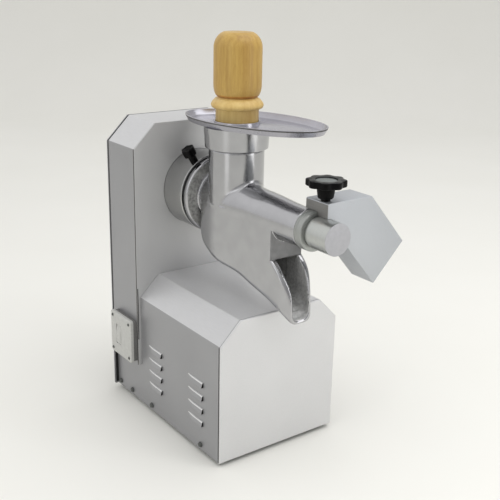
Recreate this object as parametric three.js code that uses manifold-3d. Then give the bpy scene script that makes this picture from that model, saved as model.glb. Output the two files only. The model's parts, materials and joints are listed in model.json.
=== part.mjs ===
// Electric single-screw juicer with a side pulp chute, in millimetres, +Z up.
// x = 0 is the mid plane, y = 0 is the front face of the drive casing, the barrel points along -Y.
// The whole group is shifted at the end, so that the origin lies under the middle of its box.
import * as THREE from 'three';
import Module from 'manifold-3d';
import { mergeVertices } from 'three/addons/utils/BufferGeometryUtils.js';

const wasm = await Module();
wasm.setup();

// Clearances
const gap = 0.3;
const cutMargin = 5;

// Sheet metal
const sheet = 1.5;
const panThickness = 2;
const plateThickness = 6;

// Feet and base pan
const footHeight = 8;
const footRadius = 11;
const footInset = 20;
const footStudRadius = 3;
const footStudLength = 8;
const panelClearance = 6;
const panFlange = 20;

// Low motor housing
const lowWidth = 210;
const lowDepth = 224.5;
const lowHeight = 216;
const lowChamfer = 33.5;
const skirtHeight = 67;

// Louvres pressed into its sides
const louvreLength = 40;
const louvrePitch = 21;
const louvreRows = 4;
const louvreHeight = 6;
const louvreStand = 3.5;
const louvreSlot = 2.5;
const louvreFrontInset = 63.5;
const louvreColumns = [-45, louvreFrontInset - lowDepth];
const louvreTop = 109;

// Tall drive casing and its back cover
const tallWidth = 222;
const tallDepth = 84.8;
const tallHeight = 456;
const tallChamfer = 37;
const casingWindowInset = 12;
const rearFlange = 14;
const coverThickness = 2;
const coverOverhang = 1;

// Screws
const screwShankRadius = 2;
const screwHeadRadius = 4.5;
const screwHeadHeight = 3;
const screwLength = 7;
const sideScrewHeight = 8;
const sideScrewRearInset = 12.8;
const sideScrewFrontInset = 49.5;
const sideScrewPlaces = [tallDepth - sideScrewRearInset, 32, -32, sideScrewFrontInset - lowDepth];
const coverScrewInset = 9;
const coverScrewHeights = [110, 370];

// Inner frame plates
const framePlateWidth = 190;
const framePlateTop = 444;
const framePlateChamfer = 30;
const motorWindowWidth = 144;
const motorWindowBottom = 36;
const motorWindowTop = 196;
const rearPlateWidth = 184;
const rearPlateBottom = 228;
const rearPlateFront = 40;
const postRadius = 6;
const postInset = 9;

// Main shaft, its gear and its bearings
const axisHeight = 355.5;
const shaftRadius = 12.5;
const shaftRearEnd = 54;
const hubRadius = 20;
const hubRear = -24.5;
const hubFront = -48;
const socketSize = 18;
const socketDepth = 20;
const bearingRadius = 26;
const bearingWidth = 15;
const gearModule = 3;
const gearTeeth = 48;
const gearFront = 15.5;
const gearWidth = 18;
const gearHubRadius = 24;
const gearHubExtra = 3;
const toothPlay = 0.3;
const meshClearance = 0.4;

// Countershaft, pinion and large pulley
const pinionTeeth = 12;
const pinionExtra = 1;
const counterRadius = 10;
const counterRearEnd = 74;
const counterBearingRadius = 21;
const counterBearingWidth = 12;
const bossWall = 5;
const pulleyFront = 54;
const pulleyWidth = 16;
const bigPulleyRadius = 76;
const smallPulleyRadius = 28;
const pulleyGroove = 8;
const pulleyHubRadius = 16;
const beltWidth = 10;
const beltThickness = 8;

// Motor
const motorHeight = 115;
const motorRadius = 65;
const motorNoseInset = 74.5;
const motorRear = 18;
const motorShaftRadius = 8;
const motorShaftEnd = 74;
const motorShaftDepth = 120;
const motorBellRadius = 45;
const motorBellLength = 16;
const cradleWidth = 116;
const cradleInset = 30;
const cradleRear = -16;
const cradleWall = 20;
const capacitorRadius = 20;
const capacitorHeight = 90;
const capacitorSideInset = 41.2;
const capacitorFrontInset = 36.5;

// Cable gland in the back cover
const glandX = -74;
const glandHeight = 44;
const glandRadius = 8;
const glandNutRadius = 12;
const glandNutLength = 6;
const glandLength = 16;
const glandSealRadius = 4;
const glandSealDepth = 2;

// Switch on the left side of the drive casing
const switchWidth = 67;
const switchHeight = 72;
const switchY = 35.5;
const switchZ = 114;
const switchBaseDepth = 6;
const switchPlateDepth = 5;
const switchScrewInset = 7;
const switchScrewRadius = 2.6;
const switchScrewStand = 1.2;
const rockerWidth = 15;
const rockerHeight = 32;
const rockerOffset = 8;
const rockerStand = 2.5;
const rockerDepth = 4;
const rockerTilt = 6;

// Mounting collar and its lock knob
const collarRadius = 60;
const collarLength = 50;
const pocketRadius = 44.3;
const pocketDepth = 26;
const lockAngle = 31.5;
const lockY = -42;
const lockStudRadius = 4;
const lockHubRadius = 6;
const lockHubLength = 12;
const lockHeadRadius = 10.5;
const lockHeadLength = 12;
const lockLobes = 6;

// Cast head
const spigotRadius = 44;
const shoulderRadius = 52;
const flangeRadius = 59;
const flangeRear = -54;
const flangeFront = -64;
const rearWall = 8;
const barrelRadius = 40;
const boreRadius = 35.5;
// Barrel stations: place along y, outer radius, bore radius
const barrelStations = [
  [-120, barrelRadius, boreRadius],
  [-152, 31.6, 27],
  [-200, 31.2, 26],
  [-224, 28, 21],
  [-276.1, 26.8, 21],
];
const threadRadius = 24;
const threadEnd = -284.4;
const tubeY = -107;
const tubeRadius = 39;
const tubeBore = 34;
const bellyWall = 3.5;
const bellyRound = 12;
const spoutFrontWall = -231;
const spoutTop = 303;
const spoutTipY = -267;
const spoutTipZ = 210;
const spoutBulgeY = -272;
const spoutBulgeZ = 276;
// Stations along the belly: place along y, half width, height of its bottom
const bellyStations = [
  [-66, 38, 318],
  [-71, 40, 299],
  [-79, 40, 283],
  [-103, 40, 269],
  [-137, 35, 263],
  [-152, 31.5, 259.5],
  [-183, 31, 251],
  [-222, 28, 240],
  [-243, 26, 232],
  [-256, 21, 224],
  [-268, 12, 210],
];
const mouthReach = 40;
const windowHalfWidth = 16;
const windowRear = -125;
const windowFront = -205;
const strainerThickness = 2;
const strainerSlots = 9;
const strainerSlotWidth = 2;
const strainerSlotLength = 20;
const sealThickness = 5;

// Auger
const neckRadius = 14;
const tangSize = 17.4;
const tangLength = 21;
const coreRear = 15;
const coreFront = 14;
const augerClearance = 0.7;
const augerTip = -284.4;
const flightRear = -66;
const flightFront = -276;
const flightThickness = 4;
const pitchRear = 40;
const pitchFront = 24;
const flightSteps = 13;

// Nose ring and nozzle
const ringRadius = 27.6;
const ringFront = -291;
const ringLip = 3;
const ringRound = 1.5;
const nozzleFlangeWidth = 3;
const nozzleNeckRadius = 20.4;
const nozzleNeckEnd = -294.8;
const nozzleRadius = 22;
const nozzleBore = 18;
const nozzleEnd = -334;
const nozzleCap = 2.5;
const slotRear = -296;
const slotFront = -309;
const slotDrop = 3.5;
const slotRise = 10.5;
const slotBottom = axisHeight - slotDrop;
const slotTop = axisHeight + slotRise;

// Pulp chute, drawn from the front: x to the right, z up from the barrel's axis
const chuteFront = -311.5;
const chuteRear = -267.5;
const chuteRise = 42.5;
const chuteMouthTopDrop = 31.2;
const chuteMouthBottomDrop = 84.5;
const chuteInnerRise = 12;
const chuteTop = axisHeight + chuteRise;
const chuteLeft = 0;
const chuteKneeX = 77.8;
const chuteMouthTop = [143.3, axisHeight - chuteMouthTopDrop];
const chuteMouthBottom = [91, axisHeight - chuteMouthBottomDrop];
const chuteInnerEnd = [8, axisHeight + chuteInnerRise];

// Star knob that holds the chute on the nozzle's boss
const screwX = 7.8;
const screwY = -297.3;
const studRadius = 3;
const studEndRise = 20.5;
const studEnd = axisHeight + studEndRise;
const bossRadius = 5.8;
const knobNeckRadius = 6.5;
const knobNeckLength = 3;
const knobHubRadius = 11.8;
const knobHubLength = 16.7;
const knobRadius = 27.2;
const knobThickness = 9;
const knobLobes = 8;
const knobLobeDepth = 3;
const knobRecessRadius = 15;
const knobRecessDepth = 2;

// Feed tray
const trayRise = 122.5;
const trayRimHeight = axisHeight + trayRise;
const trayDepth = 8.5;
const trayCentreX = 18;
const trayCentreY = -124;
const trayHalfWidth = 65;
const trayHalfLength = 120;
const trayTurn = 15.7;
const traySlope = 5;
const traySides = 36;
const trayLipWall = 1.7;
const trayLipHeight = 6;
const trayHubWall = 4.2;
const socketTopRadius = 48;
const socketBottomRadius = 46.2;
const socketDrop = 41;
const socketBottom = trayRimHeight - socketDrop;

// Wooden pusher
const pusherStemRadius = 31;
const beadRadius = 37.6;
const beadLift = 15;
const beadBottom = trayRimHeight + beadLift;
const beadHeight = 15.5;
const beadRound = 3;
const waistRadius = 28;
const gripRadius = 34.5;
const gripHeight = 106;
const gripTop = beadBottom + gripHeight;
const gripShoulder = 16;
const gripFlare = 17;

// Materials
function finish(color, roughness, metalness) {
  return new THREE.MeshStandardMaterial({ color, roughness, metalness });
}
const materials = {
  brushedSheet: finish(0xb4b3b1, 0.42, 0.9),
  galvanised: finish(0x8d9093, 0.55, 0.8),
  polishedSteel: finish(0xb0b0b2, 0.18, 1),
  chuteSheet: finish(0xb0b3b5, 0.45, 0.7),
  machinedSteel: finish(0x8a8d90, 0.35, 1),
  paintedMotor: finish(0x3c4c5a, 0.6, 0.2),
  blackPlastic: finish(0x151515, 0.4, 0),
  palePlastic: finish(0xadaca8, 0.5, 0),
  greyPlastic: finish(0x5c5b58, 0.55, 0),
  blackRubber: finish(0x1b1b1b, 0.85, 0),
  whiteSilicone: finish(0xd8d6cf, 0.6, 0),
  turnedWood: finish(0xb98f45, 0.55, 0),
  darkScrew: finish(0x4d4b48, 0.45, 0.8),
};

// Places worked out from the dimensions
const panelBottom = panelClearance;
const lowHalf = lowWidth / 2;
const lowTop = panelBottom + lowHeight;
const tallHalf = tallWidth / 2;
const tallTop = panelBottom + tallHeight;
const skirtTop = panelBottom + skirtHeight;
const coverFront = tallDepth - coverThickness;
const casingRear = coverFront - gap;
const panHalf = lowHalf - sheet - gap;
const panBottom = footHeight;
const panTop = panBottom + panThickness;
const frameFront = sheet + gap;
const frameRear = frameFront + plateThickness;
const rearPlateRear = rearPlateFront + plateThickness;
const gearPitchRadius = gearModule * gearTeeth / 2;
const pinionPitchRadius = gearModule * pinionTeeth / 2;
const counterHeight = axisHeight - gearPitchRadius - pinionPitchRadius - meshClearance;
const switchFace = -tallHalf - gap - switchBaseDepth;
const motorFront = -lowDepth + motorNoseInset;
const cradleFront = motorFront + cradleInset;
const capacitorX = panHalf - capacitorSideInset;
const capacitorY = -lowDepth + capacitorFrontInset;
const spigotRear = pocketDepth - collarLength;
const rearWallFront = flangeFront + rearWall / 2;
const sealSeat = rearWallFront + rearWall;
const tubeTop = trayRimHeight - trayDepth - sheet - gap;
const noseEnd = barrelStations.at(-1)[0];
const noseBore = barrelStations.at(-1)[2];
const ringRear = noseEnd - gap;
const nozzleRear = threadEnd - gap;
const nozzleFlangeFront = nozzleRear - nozzleFlangeWidth;
const chuteUnderside = chuteTop - sheet;
const knobBase = chuteTop + gap;

// Geometry helpers

// A closed solid from a closed geometry, with its faces turned outwards
function solid(geometry) {
  const bare = geometry.clone();
  bare.deleteAttribute('normal');
  bare.deleteAttribute('uv');
  const merged = mergeVertices(bare, 1e-4);
  const places = merged.attributes.position;
  const corners = [];
  let volume = 0;
  const a = new THREE.Vector3();
  const b = new THREE.Vector3();
  const c = new THREE.Vector3();
  for (let i = 0; i < merged.index.count; i += 3) {
    const [p, q, r] = [0, 1, 2].map((k) => merged.index.getX(i + k));
    if (p === q || q === r || r === p) continue;
    corners.push(p, q, r);
    a.fromBufferAttribute(places, p);
    b.fromBufferAttribute(places, q);
    c.fromBufferAttribute(places, r);
    volume += a.dot(b.cross(c));
  }
  if (volume < 0) corners.reverse();
  const vertProperties = Float32Array.from(places.array);
  const triVerts = Uint32Array.from(corners);
  return new wasm.Manifold(new wasm.Mesh({ numProp: 3, vertProperties, triVerts }));
}

function joined(...solids) {
  return solids.reduce((whole, next) => whole.add(next));
}

function cut(body, ...cutters) {
  return cutters.reduce((rest, cutter) => rest.subtract(cutter), body);
}

function asGeometry(body) {
  const mesh = body.getMesh();
  const geometry = new THREE.BufferGeometry();
  geometry.setAttribute('position', new THREE.BufferAttribute(mesh.vertProperties, 3));
  geometry.setIndex(new THREE.BufferAttribute(mesh.triVerts, 1));
  geometry.computeVertexNormals();
  return geometry;
}

function box(x0, x1, y0, y1, z0, z1) {
  const geometry = new THREE.BoxGeometry(x1 - x0, y1 - y0, z1 - z0);
  geometry.translate((x0 + x1) / 2, (y0 + y1) / 2, (z0 + z1) / 2);
  return solid(geometry);
}

function shapeOf(points) {
  return new THREE.Shape(points.map(([u, v]) => new THREE.Vector2(u, v)));
}

const alongX = new THREE.Matrix4().makeBasis(
  new THREE.Vector3(0, 1, 0), new THREE.Vector3(0, 0, 1), new THREE.Vector3(1, 0, 0));
const alongY = new THREE.Matrix4().makeBasis(
  new THREE.Vector3(1, 0, 0), new THREE.Vector3(0, 0, 1), new THREE.Vector3(0, -1, 0));

// An outline of [x, z] points, extruded from y0 to y1
function prismY(points, y0, y1) {
  const geometry = new THREE.ExtrudeGeometry(shapeOf(points), { depth: y1 - y0, bevelEnabled: false });
  geometry.applyMatrix4(alongY);
  geometry.translate(0, y1, 0);
  return solid(geometry);
}

// An outline of [y, z] points, extruded from x0 to x1
function prismX(points, x0, x1) {
  const geometry = new THREE.ExtrudeGeometry(shapeOf(points), { depth: x1 - x0, bevelEnabled: false });
  geometry.applyMatrix4(alongX);
  geometry.translate(x0, 0, 0);
  return solid(geometry);
}

// A turned piece: [radius, place] points along an axis through x, y or z
function turned(points, sides) {
  return new THREE.LatheGeometry(points.map(([r, p]) => new THREE.Vector2(r, p)), sides);
}

function turnedY(points, sides, x, z) {
  const geometry = turned(points, sides);
  geometry.translate(x, 0, z);
  return solid(geometry);
}

function turnedZ(points, sides, x, y) {
  const geometry = turned(points, sides);
  geometry.rotateX(Math.PI / 2);
  geometry.translate(x, y, 0);
  return solid(geometry);
}

function turnedX(points, sides, y, z) {
  const geometry = turned(points, sides);
  geometry.rotateZ(-Math.PI / 2);
  geometry.translate(0, y, z);
  return solid(geometry);
}

function rodY(radius, y0, y1, x, z, sides) {
  return turnedY([[0, y0], [radius, y0], [radius, y1], [0, y1]], sides, x, z);
}

function rodZ(radius, z0, z1, x, y, sides) {
  return turnedZ([[0, z0], [radius, z0], [radius, z1], [0, z1]], sides, x, y);
}

function rodX(radius, x0, x1, y, z, sides) {
  return turnedX([[0, x0], [radius, x0], [radius, x1], [0, x1]], sides, y, z);
}

function ringY(inner, outer, y0, y1, x, z, sides) {
  return turnedY([[inner, y0], [outer, y0], [outer, y1], [inner, y1], [inner, y0]], sides, x, z);
}

// A skin over a row of like outlines, each a closed convex loop of points
function loft(sections) {
  const count = sections[0].length;
  const places = sections.flat().flatMap((p) => [p.x, p.y, p.z]);
  const index = [];
  for (let s = 0; s + 1 < sections.length; s += 1) {
    for (let i = 0; i < count; i += 1) {
      const j = (i + 1) % count;
      const a = s * count + i;
      const b = s * count + j;
      index.push(a, b, b + count, a, b + count, a + count);
    }
  }
  const last = (sections.length - 1) * count;
  for (let i = 1; i + 1 < count; i += 1) {
    index.push(0, i + 1, i, last, last + i, last + i + 1);
  }
  const geometry = new THREE.BufferGeometry();
  geometry.setAttribute('position', new THREE.Float32BufferAttribute(places, 3));
  geometry.setIndex(index);
  return solid(geometry);
}

// House outline with cut top corners, for the casings: [x, z] points
function houseOutline(half, bottom, top, chamfer) {
  return [
    [-half, bottom], [half, bottom], [half, top - chamfer],
    [half - chamfer, top], [-half + chamfer, top], [-half, top - chamfer],
  ];
}

// The same outline one wall further in, leaving the wall's thickness on every side but the bottom
function innerHouse(half, bottom, top, chamfer, wall) {
  const innerChamfer = chamfer - wall * (2 - Math.SQRT2);
  return houseOutline(half - wall, bottom, top - wall, innerChamfer);
}

// Lobed knob outline with round lobes: radius swings by depth, lobes times a turn
function lobedOutline(radius, depth, lobes, pointsPerLobe) {
  const count = lobes * pointsPerLobe;
  const points = [];
  for (let i = 0; i < count; i += 1) {
    const turn = 2 * Math.PI * i / count;
    const r = radius - depth * (0.5 - 0.5 * Math.cos(lobes * turn));
    points.push([r * Math.cos(turn), r * Math.sin(turn)]);
  }
  return points;
}

// Spur gear outline with straight-sided teeth, the first tooth at the given turn
function gearOutline(teeth, turn) {
  const pitch = gearModule * teeth / 2;
  const tip = pitch + gearModule;
  const root = pitch - 1.25 * gearModule;
  const half = Math.PI / teeth / 2 - toothPlay / pitch;
  const slope = Math.tan(20 * Math.PI / 180) / pitch * gearModule;
  const points = [];
  for (let i = 0; i < teeth; i += 1) {
    const middle = turn + 2 * Math.PI * i / teeth;
    for (const [r, half2] of [[root, half + slope], [tip, half - slope]]) {
      points.push([r, middle - half2]);
    }
    for (const [r, half2] of [[tip, half - slope], [root, half + slope]]) {
      points.push([r, middle + half2]);
    }
  }
  return points.map(([r, t]) => [r * Math.cos(t), r * Math.sin(t)]);
}

function movedTo(points, x, z) {
  return points.map(([u, v]) => [u + x, v + z]);
}

const model = new THREE.Group();

function add(name, body, material) {
  const mesh = new THREE.Mesh(asGeometry(body), material);
  mesh.name = name;
  model.add(mesh);
}

// Base pan: a folded tray with a low flange all round, drilled for the side screws and the feet
const screwHeight = panelBottom + sideScrewHeight;
const screwHole = screwShankRadius + gap;
const footPlaces = [
  ['foot_front_left', -panHalf + footInset, -lowDepth + sheet + gap + footInset],
  ['foot_front_right', panHalf - footInset, -lowDepth + sheet + gap + footInset],
  ['foot_rear_left', -panHalf + footInset, casingRear - footInset],
  ['foot_rear_right', panHalf - footInset, casingRear - footInset],
];

function basePan() {
  const front = -lowDepth + sheet + gap;
  const rear = casingRear;
  const flangeTop = panBottom + panFlange;
  const outer = box(-panHalf, panHalf, front, rear, panBottom, flangeTop);
  const inner = box(-panHalf + panThickness, panHalf - panThickness, front + panThickness,
    rear - panThickness, panTop, flangeTop + cutMargin);
  const screwHoles = sideScrewPlaces.map((y) => rodX(screwHole, -lowHalf, lowHalf, y, screwHeight, 8));
  const footHoles = footPlaces.map(([, x, y]) => rodZ(footStudRadius + gap, 0, panTop + 1, x, y, 8));
  return cut(outer, inner, ...screwHoles, ...footHoles);
}
add('base_pan', basePan(), materials.galvanised);

// A rubber foot: a low cone with a stud up through the pan
function foot(x, y) {
  const top = panBottom - gap;
  const profile = [
    [0, 0], [footRadius - 1.5, 0], [footRadius, 1.5], [footRadius, top], [footStudRadius, top],
    [footStudRadius, top + footStudLength], [0, top + footStudLength],
  ];
  return turnedZ(profile, 16, x, y);
}
for (const [name, x, y] of footPlaces) {
  add(name, foot(x, y), materials.blackRubber);
}

// Low housing: top, chamfers, sides and front of one sheet, with skirts that run back under the casing
function louvres(side) {
  const hoods = [];
  const slots = [];
  const face = side * lowHalf;
  const rows = Array.from({ length: louvreRows }, (_, row) => louvreTop - row * louvrePitch);
  for (const y of louvreColumns) {
    for (const z of rows) {
      const hoodGeometry = new THREE.ExtrudeGeometry(
        shapeOf([[-sheet / 2 * side, louvreHeight], [louvreStand * side, 0], [-sheet / 2 * side, 0]]),
        { depth: louvreLength, bevelEnabled: false });
      hoodGeometry.applyMatrix4(alongY);
      hoodGeometry.translate(face, y + louvreLength / 2, z);
      hoods.push(solid(hoodGeometry));
      const inset = sheet;
      slots.push(box(Math.min(face - side * cutMargin, face + side * (louvreStand - sheet)),
        Math.max(face - side * cutMargin, face + side * (louvreStand - sheet)),
        y - louvreLength / 2 + inset, y + louvreLength / 2 - inset, z - 1, z + louvreSlot - 1));
    }
  }
  return [hoods, slots];
}

function lowHousing() {
  const front = -lowDepth;
  const rear = -gap;
  const outer = prismY(houseOutline(lowHalf, panelBottom, lowTop, lowChamfer), front, rear);
  const hollow = prismY(innerHouse(lowHalf, panelBottom - cutMargin, lowTop, lowChamfer, sheet),
    front + sheet, rear + cutMargin);
  const skirts = [-1, 1].map((side) => {
    const faces = [side * lowHalf, side * (lowHalf - sheet)].sort((a, b) => a - b);
    return box(faces[0], faces[1], front + sheet, casingRear, panelBottom, skirtTop);
  });
  const screwHoles = sideScrewPlaces.map(
    (y) => rodX(screwHole, -lowHalf - cutMargin, lowHalf + cutMargin, y, screwHeight, 8));
  const [leftHoods, leftSlots] = louvres(-1);
  const [rightHoods, rightSlots] = louvres(1);
  const shell = joined(cut(outer, hollow), ...skirts, ...leftHoods, ...rightHoods);
  return cut(shell, ...leftSlots, ...rightSlots, ...screwHoles);
}
add('low_housing', lowHousing(), materials.brushedSheet);

// Tall casing: front sheet, sides and top, with a flange at the back for the cover
function coverScrewPlaces() {
  const x = tallHalf - coverScrewInset;
  return [-x, x].flatMap((u) => coverScrewHeights.map((z) => [u, z]));
}

function tallCasing() {
  const bottom = skirtTop + gap;
  const outer = prismY(houseOutline(tallHalf, bottom, tallTop, tallChamfer), 0, casingRear);
  const hollow = prismY(innerHouse(tallHalf, bottom - cutMargin, tallTop, tallChamfer, sheet),
    sheet, casingRear - sheet);
  const opening = prismY(innerHouse(tallHalf, bottom - cutMargin, tallTop, tallChamfer, rearFlange),
    casingRear - sheet - 1, casingRear + cutMargin);
  const window = box(-lowHalf + casingWindowInset, lowHalf - casingWindowInset, -cutMargin, sheet + 1,
    bottom - cutMargin, lowTop - casingWindowInset);
  const collarHole = rodY(collarRadius + gap, -cutMargin, sheet + 1, 0, axisHeight, 48);
  const screws = coverScrewPlaces().map(
    ([x, z]) => rodY(screwHole, casingRear - cutMargin, casingRear + cutMargin, x, z, 8));
  const switchHole = rodX(5, -tallHalf - cutMargin, -tallHalf + cutMargin, switchY, switchZ, 10);
  return cut(outer, hollow, opening, window, collarHole, switchHole, ...screws);
}
add('tall_casing', tallCasing(), materials.brushedSheet);

function backCover() {
  const half = tallHalf + coverOverhang;
  const plate = prismY(houseOutline(half, panelBottom, tallTop, tallChamfer), coverFront, tallDepth);
  const screws = coverScrewPlaces().map(
    ([x, z]) => rodY(screwHole, coverFront - cutMargin, tallDepth + cutMargin, x, z, 8));
  const gland = rodY(glandRadius + gap, coverFront - cutMargin, tallDepth + cutMargin,
    glandX, glandHeight, 16);
  return cut(plate, gland, ...screws);
}
add('back_cover', backCover(), materials.brushedSheet);

// Pan head screws, each with its shank in the sheets it holds
const screwSides = 10;
const screwProfile = [
  [0, -screwLength], [screwShankRadius, -screwLength], [screwShankRadius, gap],
  [screwHeadRadius, gap], [screwHeadRadius * 0.7, gap + screwHeadHeight], [0, gap + screwHeadHeight],
];

sideScrewPlaces.forEach((y, i) => {
  for (const [word, side] of [['left', -1], ['right', 1]]) {
    const geometry = turned(screwProfile, screwSides);
    geometry.rotateZ(-side * Math.PI / 2);
    geometry.translate(side * lowHalf, y, screwHeight);
    add(`side_screw_${word}_${i + 1}`, solid(geometry), materials.darkScrew);
  }
});

coverScrewPlaces().forEach(([x, z], i) => {
  const geometry = turned(screwProfile, screwSides);
  geometry.translate(x, tallDepth, z);
  add(`cover_screw_${i + 1}`, solid(geometry), materials.darkScrew);
});

// Cable gland with a hexagon nut and a closed seal
function cableGland() {
  const body = turnedY([
    [0, coverFront - glandNutLength], [glandRadius, coverFront - glandNutLength],
    [glandRadius, tallDepth + glandLength - 2], [glandRadius - 2, tallDepth + glandLength],
    [glandSealRadius, tallDepth + glandLength], [glandSealRadius, tallDepth + glandLength - glandSealDepth],
    [0, tallDepth + glandLength - glandSealDepth],
  ], 16, glandX, glandHeight);
  const nut = rodY(glandNutRadius, tallDepth + gap, tallDepth + gap + glandNutLength, glandX, glandHeight, 6);
  return joined(body, nut);
}
add('cable_gland', cableGland(), materials.blackPlastic);

// Front frame plate: stands on the pan behind the casing's front sheet, with a window round the motor
function framePlate() {
  const half = framePlateWidth / 2;
  const outline = houseOutline(half, panTop + gap, framePlateTop, framePlateChamfer);
  const plate = prismY(outline, frameFront, frameRear);
  const window = box(-motorWindowWidth / 2, motorWindowWidth / 2, 0, frameRear + 1,
    motorWindowBottom, motorWindowTop);
  const shaftHole = rodY(bearingRadius - 6, 0, frameRear + 1, 0, axisHeight, 24);
  const boss = rodY(counterBearingRadius + gap + bossWall, frameFront,
    frameFront + counterBearingWidth, 0, counterHeight, 24);
  const seat = rodY(counterBearingRadius + gap, 0, frameRear + counterBearingWidth, 0, counterHeight, 24);
  return cut(joined(plate, boss), window, shaftHole, seat);
}
add('frame_plate', framePlate(), materials.galvanised);

// Rear bearing plate, held off the front plate by four posts
function rearBearingPlate() {
  const half = rearPlateWidth / 2;
  const outline = houseOutline(half, rearPlateBottom, framePlateTop, framePlateChamfer);
  const plate = prismY(outline, rearPlateFront, rearPlateRear);
  const shelf = framePlateTop - framePlateChamfer;
  const posts = [[half - postInset, rearPlateBottom + postInset], [half - postInset, shelf]].flatMap(
    ([x, z]) => [-x, x].map((u) => rodY(postRadius, frameRear + gap, rearPlateFront + 1, u, z, 12)));
  const mainBoss = rodY(bearingRadius + gap + bossWall, rearPlateFront,
    rearPlateFront + bearingWidth - 2, 0, axisHeight, 32);
  const counterBoss = rodY(counterBearingRadius + gap + bossWall, rearPlateFront,
    rearPlateFront + counterBearingWidth, 0, counterHeight, 24);
  const mainSeat = rodY(bearingRadius + gap, rearPlateFront - 1, rearPlateRear + bearingWidth,
    0, axisHeight, 32);
  const counterSeat = rodY(counterBearingRadius + gap, rearPlateFront - 1,
    rearPlateRear + counterBearingWidth, 0, counterHeight, 24);
  return cut(joined(plate, ...posts, mainBoss, counterBoss), mainSeat, counterSeat);
}
add('rear_bearing_plate', rearBearingPlate(), materials.galvanised);

// Ball bearings, each as one ring
function bearing(inner, outer, y0, y1, z) {
  return ringY(inner + gap, outer, y0, y1, 0, z, 28);
}
const frontBearingRear = -6.3;
add('main_bearing_front', bearing(shaftRadius, bearingRadius, frontBearingRear - bearingWidth,
  frontBearingRear, axisHeight), materials.machinedSteel);
add('main_bearing_rear', bearing(shaftRadius, bearingRadius, rearPlateFront - 1,
  rearPlateFront - 1 + bearingWidth, axisHeight), materials.machinedSteel);
add('counter_bearing_front', bearing(counterRadius, counterBearingRadius, frameFront,
  frameFront + counterBearingWidth, counterHeight), materials.machinedSteel);
add('counter_bearing_rear', bearing(counterRadius, counterBearingRadius, rearPlateFront,
  rearPlateFront + counterBearingWidth, counterHeight), materials.machinedSteel);

// Main shaft with the square drive socket in its front hub
function mainShaft() {
  const body = turnedY([
    [0, shaftRearEnd], [shaftRadius, shaftRearEnd], [shaftRadius, frontBearingRear - bearingWidth - gap],
    [hubRadius - 4, frontBearingRear - bearingWidth - gap], [hubRadius - 4, hubRear],
    [hubRadius, hubRear], [hubRadius, hubFront], [0, hubFront],
  ], 32, 0, axisHeight);
  const half = socketSize / 2;
  const socket = box(-half, half, hubFront - 1, hubFront + socketDepth, axisHeight - half, axisHeight + half);
  return cut(body, socket);
}
add('main_shaft', mainShaft(), materials.machinedSteel);

function mainGear() {
  const rear = gearFront + gearWidth;
  const outline = movedTo(gearOutline(gearTeeth, Math.PI / 2), 0, axisHeight);
  const teeth = prismY(outline, gearFront, rear);
  const hub = rodY(gearHubRadius, gearFront - gearHubExtra, rear + gearHubExtra, 0, axisHeight, 32);
  const bore = rodY(shaftRadius + gap, gearFront - cutMargin, rear + cutMargin, 0, axisHeight, 32);
  return cut(joined(teeth, hub), bore);
}
add('main_gear', mainGear(), materials.machinedSteel);

// Countershaft, pinion and the two pulleys with their belt
add('countershaft', rodY(counterRadius, frameFront + gap, counterRearEnd, 0, counterHeight, 24),
  materials.machinedSteel);

function pinion() {
  const turn = Math.PI / 2 + Math.PI / pinionTeeth;
  const teeth = prismY(movedTo(gearOutline(pinionTeeth, turn), 0, counterHeight),
    gearFront - pinionExtra, gearFront + gearWidth + pinionExtra);
  const bore = rodY(counterRadius + gap, gearFront - cutMargin, gearFront + gearWidth + cutMargin,
    0, counterHeight, 24);
  return cut(teeth, bore);
}
add('pinion', pinion(), materials.machinedSteel);

function pulley(radius, shaft, z, sides) {
  const rear = pulleyFront + pulleyWidth;
  const middle = (pulleyFront + rear) / 2;
  const grooveHalf = beltWidth / 2 + gap;
  const floor = radius - pulleyGroove;
  const hole = shaft + gap;
  return turnedY([
    [hole, pulleyFront], [radius, pulleyFront], [radius, middle - grooveHalf], [floor, middle - grooveHalf],
    [floor, middle + grooveHalf], [radius, middle + grooveHalf], [radius, rear], [hole, rear],
    [hole, pulleyFront],
  ], sides, 0, z);
}
add('counter_pulley', pulley(bigPulleyRadius, counterRadius, counterHeight, 36), materials.machinedSteel);
add('motor_pulley', pulley(smallPulleyRadius, motorShaftRadius, motorHeight, 20), materials.machinedSteel);

// The belt's outline: two round ends joined by straight runs that touch both
function beltOutline(extra) {
  const big = bigPulleyRadius - pulleyGroove + extra;
  const small = smallPulleyRadius - pulleyGroove + extra;
  const lean = Math.asin((big - small) / (counterHeight - motorHeight));
  const points = [];
  const bigSteps = 16;
  const smallSteps = 8;
  for (let i = 0; i <= bigSteps; i += 1) {
    const turn = -lean + (Math.PI + 2 * lean) * i / bigSteps;
    points.push([big * Math.cos(turn), counterHeight + big * Math.sin(turn)]);
  }
  for (let i = 0; i <= smallSteps; i += 1) {
    const turn = Math.PI + lean + (Math.PI - 2 * lean) * i / smallSteps;
    points.push([small * Math.cos(turn), motorHeight + small * Math.sin(turn)]);
  }
  return points;
}

function vBelt() {
  const middle = pulleyFront + pulleyWidth / 2;
  const outer = prismY(beltOutline(gap + beltThickness), middle - beltWidth / 2, middle + beltWidth / 2);
  const inner = prismY(beltOutline(2 * gap), middle - beltWidth, middle + beltWidth);
  return cut(outer, inner);
}
add('v_belt', vBelt(), materials.blackRubber);

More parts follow.
